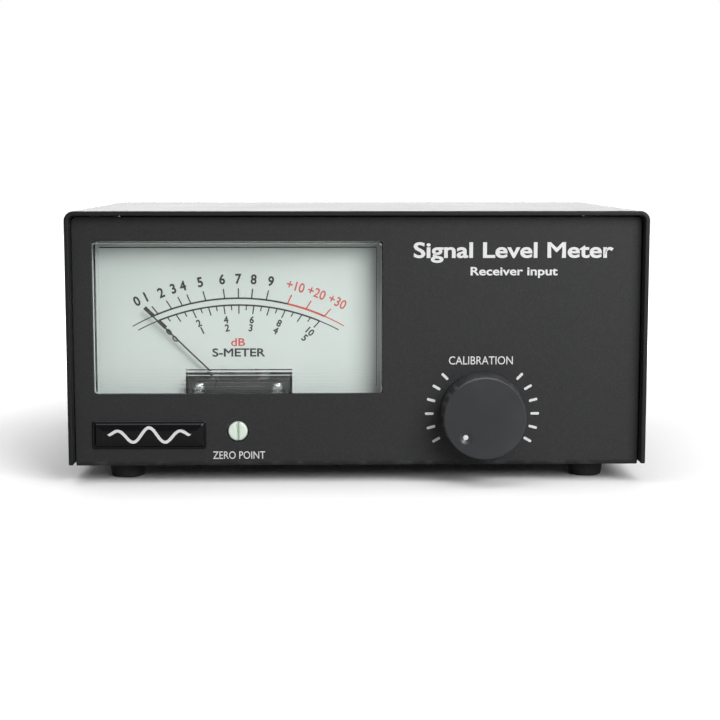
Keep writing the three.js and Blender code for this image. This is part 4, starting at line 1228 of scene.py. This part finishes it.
def makeLens():
    low, high = span("meter_lens")
    faceLow, faceHigh = windowFace()
    wall = lensLook["wall"]
    flange = panelFace + sheet + 0.1
    front = low.y

    def ring(y, lowCorner, highCorner, inset, radius):
        line = roundedBox((lowCorner.x + inset, lowCorner.z + inset),
                          (highCorner.x - inset, highCorner.z - inset), radius, 6)
        return [(x, y, z) for x, z in line]

    edge = lensLook["edge"]
    loops = [ring(high.y, low, high, wall, 0.6), ring(high.y, low, high, 0, 1.5),
             ring(flange + 0.2, low, high, 0, 1.5), ring(flange, low, high, 0.2, 1.3),
             ring(flange, faceLow, faceHigh, 0, 0.8)]
    for step in range(7):
        angle = math.radians(90 * step / 6)
        loops.append(ring(front + edge * (1 - math.sin(angle)), faceLow, faceHigh,
                          edge * (1 - math.cos(angle)), 0.8 - edge * 0.5 * step / 6))
    outer = loft([loop for loop in loops[1:]])
    inner = [
        ring(high.y + 1, low, high, wall, 0.6),
        ring(flange + wall, low, high, wall, 0.6),
        ring(flange + wall, faceLow, faceHigh, wall - 0.2, 0.5),
        ring(front + lensLook["front"], faceLow, faceHigh, wall, 0.3),
    ]
    mesh = combined(outer, loft(inner))
    adjuster = middle("zero_adjuster")
    drill = spun([(0, flange - 1), (2, flange - 1), (2, flange + 4), (0, flange + 4)], 40)
    mesh = combined(mesh, moved(drill, (adjuster.x, 0, adjuster.z)))
    # ridges across the foot of the window's inner face
    inside = front + lensLook["front"]
    ribs = []
    for i in range(lensLook["ribs"]):
        z = faceLow.z + wall + 0.15 + i * lensLook["ribPitch"]
        section = [(inside - 0.05, z)]
        for step in range(9):
            share = step / 8
            section.append((inside + lensLook["ribDepth"] * math.sin(math.pi * share), z + 0.85 * share))
        section.append((inside - 0.05, z + 0.85))
        ribs.append(prism(section, faceLow.x + wall + 0.3, faceHigh.x - wall - 0.3, "X"))
    mesh = combined(mesh, joined(*ribs), "UNION")
    show("meterLens", mesh, "clear", "case", ["meter_lens"], 32)


def makeMeterBody():
    for node, name, width, finish, slot in (
        ("meter_case", "meterTray", 0.3, "whitePlastic", "white_plastic"),
        ("meter_bracket", "meterBracket", 0.2, "zinc", "plated_steel"),
        ("lamp_board", "lampBoard", 0.12, "laminate", "phenolic"),
        ("terminal_minus", "terminalMinus", 0.15, "brass", "brass"),
        ("terminal_plus", "terminalPlus", 0.15, "brass", "brass"),
        ("movement_frame", "movementFrame", 0.2, "pointer", "black_plastic"),
        ("front_bridge", "frontBridge", 0.15, "pointer", "black_plastic"),
        ("rear_bridge", "rearBridge", 0.15, "brass", "brass"),
        ("yoke_ring", "yokeRing", 0.15, "iron", "soft_iron"),
        ("core_magnet", "coreMagnet", 0.2, "magnet", "magnet_alloy"),
    ):
        show(name, softened(node, width), finish, "case", [node], 38)


def makeLamp():
    low, high = span("meter_lamp")
    centre = middle("meter_lamp")
    radius = (high.x - low.x) / 2
    profile = rounded([
        (0, low.y), (radius * 0.95, low.y, radius * 0.8), (radius, high.y - 1.2), (radius, high.y),
        (0, high.y),
    ], 8)
    show("lampBulb", moved(spun(profile, 40), (centre.x, 0, centre.z)), "lampGlass", "case",
         ["meter_lamp"])


def makeMovementScrews():
    spots, names = [], []
    small = [f"{kind}_screw_{side}" for kind in ("movement", "dial") for side in ("left", "right")]
    for i, name in enumerate(small):
        low, high = span(name)
        centre = (low + high) / 2
        grow = (high.x - low.x) / 3.4
        spots.append(((centre.x, low.y, centre.z), (0, 25 + 40 * i, 0), (grow, 1, grow)))
        names.append(name)
    screw = crossHeadScrew(1.7, 0.85, 0.75, 4, 0.35, 24)
    show("meterScrews", repeated(screw, spots, "nickel"), "nickel", "case",
         names)
    spots, names = [], []
    for name in ("bracket_screw_left", "bracket_screw_right"):
        low, high = span(name)
        centre = (low + high) / 2
        spots.append(((centre.x, centre.y, high.z), (-90, 0, 30), (1, 1, 1)))
        names.append(name)
    screw = crossHeadScrew(2.6, 1.7, 1.4, 3.2)
    show("bracketScrews", repeated(screw, spots, "nickel"), "nickel", "case",
         names)


coilLook = {"wire": 0.13, "turns": 9, "layers": 2}


def makeCoil():
    # the coil's long side lies across the pointer, so it is turned with the pointer's rest angle
    rest = -45.8
    halfLong, halfWide, front, back, wall = 7.25, 1.2, -38.6, -25.8, 0.7
    former = block((-halfLong + 0.28, front + 0.3, -halfWide),
                   (halfLong - 0.28, back - 0.3, halfWide))
    hollow = block((-halfLong + wall, front + 0.9, -3), (halfLong - wall, back - 0.9, 3))
    former = bevelled(combined(former, hollow), 0.08)
    turns = []
    for layer in range(coilLook["layers"]):
        inset = coilLook["wire"] * (1 + 1.7 * (coilLook["layers"] - 1 - layer))
        loop = roundedBox((-halfLong + inset, front + inset), (halfLong - inset, back - inset), 0.5, 4)
        pitch = 2 * (halfWide - coilLook["wire"]) / (coilLook["turns"] - 1)
        turns.append(grown(lineMesh([(x, y, 0) for x, y in loop], closed=True), trees["winding"], {
            "Wire": coilLook["wire"] * unit, "Turns": coilLook["turns"], "Pitch": (0, 0, pitch * unit),
            "Start": (0, 0, (coilLook["wire"] - halfWide) * unit), "Finish": finishes["copper"],
        }))
    centre = (pivotX, 0, pivotZ)
    show("coilFormer", moved(former, centre, (0, rest, 0)), "zinc", "movement")
    winding = moved(faceOutwards(joined(*turns)), centre, (0, rest, 0))
    show("coilWinding", winding, "copper", "movement", ["moving_coil"])


def makeAdjuster():
    low, high = span("zero_adjuster")
    centre = (pivotX, 0, 13.8)
    front = low.y
    profile = rounded([
        (0, front), (2.5, front, 0.45), (2.5, -44.35, 0.1), (1.85, -44.35), (1.85, -42.55),
        (2.15, -42.55, 0.1), (1.85, -42.05), (0, -42.05),
    ], 5)
    body = spun(profile, 56)
    slot = prism(roundedBox((-0.42, -3), (0.42, 3), 0), front - 1, front + 0.9)
    body = combined(body, slot)
    pin = spun(rounded([(0, -42.6), (0.45, -42.6), (0.45, high.y, 0.15), (0, high.y)]), 24)
    body = combined(body, moved(pin, (0, 0, 1.2)), "UNION")
    show("zeroAdjuster", moved(body, centre), "nylon", "adjuster", ["zero_adjuster"])


def dressMovement():
    for node, finish in (
        ("front_jewel_screw", "brass"), ("rear_jewel_screw", "brass"), ("rear_hairspring", "brass"),
        ("front_hairspring", "brass"), ("zero_lever", "brass"), ("pointer", "pointer"),
        ("front_staff", "nickel"), ("rear_staff", "nickel"),
    ):
        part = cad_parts[node]
        part.data.materials.clear()
        part.data.materials.append(finishes[finish])


makeDial()
makeLens()
makeMeterBody()
makeLamp()
makeMovementScrews()
makeCoil()
makeAdjuster()
dressMovement()
print("meter ready")


# Calibration control

knobLook = {"dimple": 1.65, "dimpleDepth": 0.6, "dot": 0.66}


def makeKnob():
    low, high = span("knob")
    centre = (low + high) / 2
    dot = middle("knob_dot")
    face, base = low.y, high.y
    profile = rounded([
        (0, face), (10.3, face, 0.08), (10.62, face + 0.32, 0.1), (11.08, base, 0.25), (9.4, base, 0.2),
        (9.4, face + 1.6, 0.4), (5.4, face + 1.6, 0.4), (5.4, -49.8, 0.2), (3.1, -49.8), (3.1, face + 1.6),
        (0, face + 1.6),
    ], 5)
    body = moved(spun(profile, 112), (centre.x, 0, centre.z))
    deep, wide = knobLook["dimpleDepth"], knobLook["dimple"]
    ball = (wide * wide + deep * deep) / (2 * deep)
    cap = [(ball * math.sin(math.radians(a)), -ball * math.cos(math.radians(a))) for a in range(0, 181, 5)]
    ballMesh = moved(spun(cap, 48), (dot.x, face + deep - ball, dot.z))
    body = combined(body, ballMesh)
    show("calibrationKnob", body, "knob", "control", ["knob"], 25)
    bottom = face + deep
    profile = rounded([(0, bottom - 0.2), (knobLook["dot"], bottom - 0.13, 0.05), (knobLook["dot"], bottom),
                       (0, bottom + 0.1)])
    show("knobDot", moved(spun(profile, 32), (dot.x, 0, dot.z)), "inkWhite", "control",
         ["knob_dot"])


def makePotentiometer():
    for node, name, body, width, finish, slot in (
        ("pot_bushing", "potBushing", "case", 0.1, "zinc", "plated_steel"),
        ("pot_can", "potCan", "case", 0.1, "zinc", "plated_steel"),
        ("pot_wafer", "potWafer", "case", 0.08, "laminate", "phenolic"),
        ("pot_washer", "potWasher", "case", 0.08, "zinc", "plated_steel"),
        ("pot_nut", "potNut", "case", 0.15, "nickel", "plated_steel"),
        ("pot_shaft", "potShaft", "control", 0.15, "nickel", "plated_steel"),
        ("pot_wiper", "potWiper", "control", 0.06, "brass", "brass"),
    ):
        show(name, softened(node, width), finish, body, [node], 38)


makeKnob()
makePotentiometer()
print("control ready")


# Rear sockets and their printing

def makeSocket(kind, half, thread, bore, pin):
    node, nutNode = kind + "_jack", kind + "_jack_nut"
    low, high = span(node)
    centre = middle(nutNode)
    behind = rearFace - sheet - 0.1
    body = bevelled(block((-half, low.y, -half), (half, behind, half)), 0.4, 3)
    barrel = [(bore + 0.15, high.y), (thread - 0.2, high.y)]
    along = high.y - 0.1
    while along > behind:
        barrel += [(thread, along), (thread - 0.22, along - 0.25)]
        along -= 0.5
    barrel += [(thread - 0.2, behind - 0.3), (bore, behind - 0.3), (bore, high.y - 0.15)]
    hole = spun([(0, low.y + 2), (bore, low.y + 2), (bore, behind + 1), (0, behind + 1)], 40)
    body = combined(body, hole)
    show(kind + "SocketBody", moved(body, (centre.x, 0, centre.z)), "blackPlastic", "case",
         [node])
    show(kind + "SocketBarrel", moved(spun(barrel, 56, closed=True), (centre.x, 0, centre.z)),
         "nickel", "case")
    if pin:
        profile = rounded([
            (0, low.y + 1.8), (1.05, low.y + 1.8), (1.05, high.y - 1.2, 0.5), (0, high.y - 1.2),
        ])
        show(kind + "SocketPin", moved(spun(profile, 32), (centre.x, 0, centre.z)), "nickel", "case")


def makeNuts():
    low, high = span("signal_jack_nut")
    centre = middle("signal_jack_nut")
    inner, outer, knurls = 3.1, 4.0, 36
    rows = []
    for y, rim in ((low.y, 0.15), (low.y + 0.2, 0), (high.y - 0.2, 0), (high.y, 0.15)):
        line = []
        for i in range(knurls * 4):
            angle = 2 * math.pi * i / (knurls * 4)
            reach = outer - rim - (0.14 if i % 4 in (2, 3) else 0)
            line.append((reach * math.cos(angle), y, reach * math.sin(angle)))
        rows.append(line)
    ring = combined(loft(rows), rod(inner, low.y - 1, high.y + 1, 48))
    show("signalSocketNut", moved(ring, (centre.x, 0, centre.z)), "nickel", "case",
         ["signal_jack_nut"])

    low, high = span("power_jack_nut")
    centre = middle("power_jack_nut")
    flat = (high.z - low.z) / 2
    corner = flat / math.cos(math.pi / 6)
    outline = [(corner * math.cos(math.pi / 3 * i), corner * math.sin(math.pi / 3 * i)) for i in range(6)]
    chamfer = spun([
        (0, low.y), (flat + 0.1, low.y), (corner + 0.1, low.y + 0.45), (corner + 0.1, high.y - 0.45),
        (flat + 0.1, high.y), (0, high.y),
    ], 60)
    nut = combined(prism(outline, low.y, high.y), chamfer, "INTERSECT")
    nut = combined(nut, spun([(0, low.y - 1), (4.1, low.y - 1), (4.1, high.y + 1), (0, high.y + 1)], 48))
    show("powerSocketNut", moved(bevelled(nut, 0.08), (centre.x, 0, centre.z)), "nickel", "case",
         ["power_jack_nut"])


def makeRearPrint():
    depth = (rearFace - 0.01, rearFace + 0.04)
    for name, words, node, wide in (("signalLabel", "SIGNAL", "signal_jack_nut", 9.5),
                                    ("powerLabel", "LAMP 12 V", "power_jack_nut", 13.5)):
        centre = middle(node)
        mesh = lettering(words, (-wide / 2, wide / 2, 0, 2.1), (0, 0.05), 0.004)
        moved(mesh, turn=(0, 0, 180))
        moved(mesh, (centre.x, depth[1], centre.z + 8.5))
        show("print_" + name, mesh, "inkWhite", "case", smooth=20)


makeSocket("signal", 4.6, 3.0, 1.8, False)
makeSocket("power", 5.6, 4.0, 2.8, True)
makeNuts()
makeRearPrint()
print("sockets ready")


# Circuit board and wiring

def makeBoard():
    low, high = span("circuit_board")
    top = high.z
    show("circuitBoard", softened("circuit_board", 0.1), "board", "case",
         ["circuit_board"])
    for side in ("left", "right"):
        node = "board_support_" + side
        show("boardSupport_" + side, softened(node, 0.12), "nylon", "case", [node], 38)

    can = rounded([
        (0, 0), (2.5, 0, 0.2), (2.5, 0.9, 0.3), (2.35, 1.2, 0.2), (2.5, 1.5, 0.3), (2.5, 7.8, 0.5),
        (0, 7.8),
    ], 4)
    can = moved(spun(can, 40), turn=(90, 0, 0))
    spots = [((low.x + x, low.y + y, top + 0.1), (0, 0, 0), (s, s, s)) for x, y, s in
             ((16, 7, 1.0), (24, 7, 1.0), (44, 26, 1.25))]
    show("boardCapacitors", repeated(can, spots, "capacitor"), "capacitor", "case")
    body = rounded([(0, -3.2), (0.95, -3.2, 0.4), (1.15, -2.6, 0.2), (0.9, -1.7, 0.2), (0.9, 1.7, 0.2),
                    (1.15, 2.6, 0.2), (0.95, 3.2, 0.4), (0, 3.2)], 3)
    resistor = spun(body, 20)
    spots = [((low.x + 14 + 4 * i, low.y + 17, top + 1.3), (0, 0, 0), (1, 1, 1)) for i in range(7)]
    show("boardResistors", repeated(resistor, spots, "resistor"), "resistor", "case")
    bent = []
    for x, y, z in [spot[0] for spot in spots]:
        for way in (-1, 1):
            far = y + way * 4.9
            line = [(x, y + way * 3, z), (x, y + way * 4.4, z), (x, far, z - 0.5), (x, far, top - 1.9)]
            bent.append(leads(line, 0.28, "solder", 8, 14))
    show("boardLeads", joined(*bent), "solder", "case")
    chip = bevelled(block((low.x + 30, low.y + 25, top + 0.6),
                          (low.x + 39.6, low.y + 31.4, top + 3.9)), 0.25)
    show("boardChip", chip, "blackPlastic", "case")
    leg = bevelled(joined(block((-0.25, 0, -2.6), (0.25, 0.25, 1.0))), 0.05)
    spots = []
    for i in range(4):
        for y, turn in ((25 - 0.35, 0), (31.4 + 0.1, 0)):
            spots.append(((low.x + 31 + 2.54 * i, low.y + y, top + 1.2), (0, 0, turn), (1, 1, 1)))
    show("boardChipLegs", repeated(leg, spots, "solder"), "solder", "case")


def makeWiring():
    low, high = span("circuit_board")
    top = high.z
    plus, minus = middle("terminal_plus"), middle("terminal_minus")
    postEnd = span("terminal_plus")[1].y
    knob = middle("pot_wafer")
    lug = span("pot_wafer")[1].z - 0.5
    wafer = middle("pot_wafer").y
    signal, power = middle("signal_jack_nut"), middle("power_jack_nut")
    jackFront, powerFront = span("signal_jack")[0].y, span("power_jack")[0].y
    lamp = middle("lamp_board")
    routes = {
        "meterPlusLead": ("wireRed", [
            (plus.x, postEnd - 1.5, plus.z - 1.5), (plus.x + 3, postEnd + 3, plus.z - 8),
            (plus.x + 12, -2, 24), (low.x - 3, 8, 19), (low.x + 3, low.y + 4, top + 3),
            (low.x + 3, low.y + 4, top - 0.5),
        ]),
        "meterMinusLead": ("wireBlack", [
            (minus.x, postEnd - 1.5, minus.z - 1.5), (minus.x + 6, postEnd + 4, minus.z - 9),
            (plus.x + 8, 1, 22), (low.x - 4, 12, 18), (low.x + 3, low.y + 8, top + 3),
            (low.x + 3, low.y + 8, top - 0.5),
        ]),
        "potLeadLeft": ("wireYellow", [
            (knob.x - 5, wafer, lug), (knob.x - 5, wafer + 4, lug + 3), (knob.x - 6, -20, 26),
            (knob.x - 7, 0, 22), (low.x + 20, low.y + 3, top + 4), (low.x + 20, low.y + 2, top - 0.5),
        ]),
        "potLeadMiddle": ("wireWhite", [
            (knob.x, wafer, lug), (knob.x, wafer + 4, lug + 3), (knob.x, -20, 27),
            (knob.x, 0, 22), (low.x + 28, low.y + 3, top + 4), (low.x + 28, low.y + 2, top - 0.5),
        ]),
        "potLeadRight": ("wireBlack", [
            (knob.x + 5, wafer, lug), (knob.x + 5, wafer + 4, lug + 3), (knob.x + 6, -20, 26),
            (knob.x + 7, 0, 22), (low.x + 36, low.y + 3, top + 4), (low.x + 36, low.y + 2, top - 0.5),
        ]),
        "signalLead": ("wireWhite", [
            (signal.x - 1.5, jackFront + 0.4, signal.z), (signal.x - 1.5, jackFront - 4, signal.z + 1),
            (signal.x - 6, jackFront - 8, 24), (low.x + 4, high.y - 5, top + 4),
            (low.x + 4, high.y - 4, top - 0.5),
        ]),
        "powerLead": ("wireRed", [
            (power.x + 2, powerFront + 0.4, power.z), (power.x + 2, powerFront - 4, power.z + 1),
            (power.x + 5, powerFront - 8, 24), (high.x - 4, high.y - 6, top + 4),
            (high.x - 4, high.y - 4, top - 0.5),
        ]),
        "lampLead": ("wireYellow", [
            (lamp.x + 6, lamp.y + 0.6, lamp.z), (lamp.x + 6, lamp.y + 5, lamp.z + 2),
            (lamp.x + 26, 2, 50), (low.x + 10, 22, 34), (low.x + 12, high.y - 6, top + 5),
            (low.x + 12, high.y - 4, top - 0.5),
        ]),
    }
    for name, (finish, line) in routes.items():
        show(name, leads(line, 0.65, finish), finish, "case")


makeBoard()
makeWiring()
print("board and wiring ready")
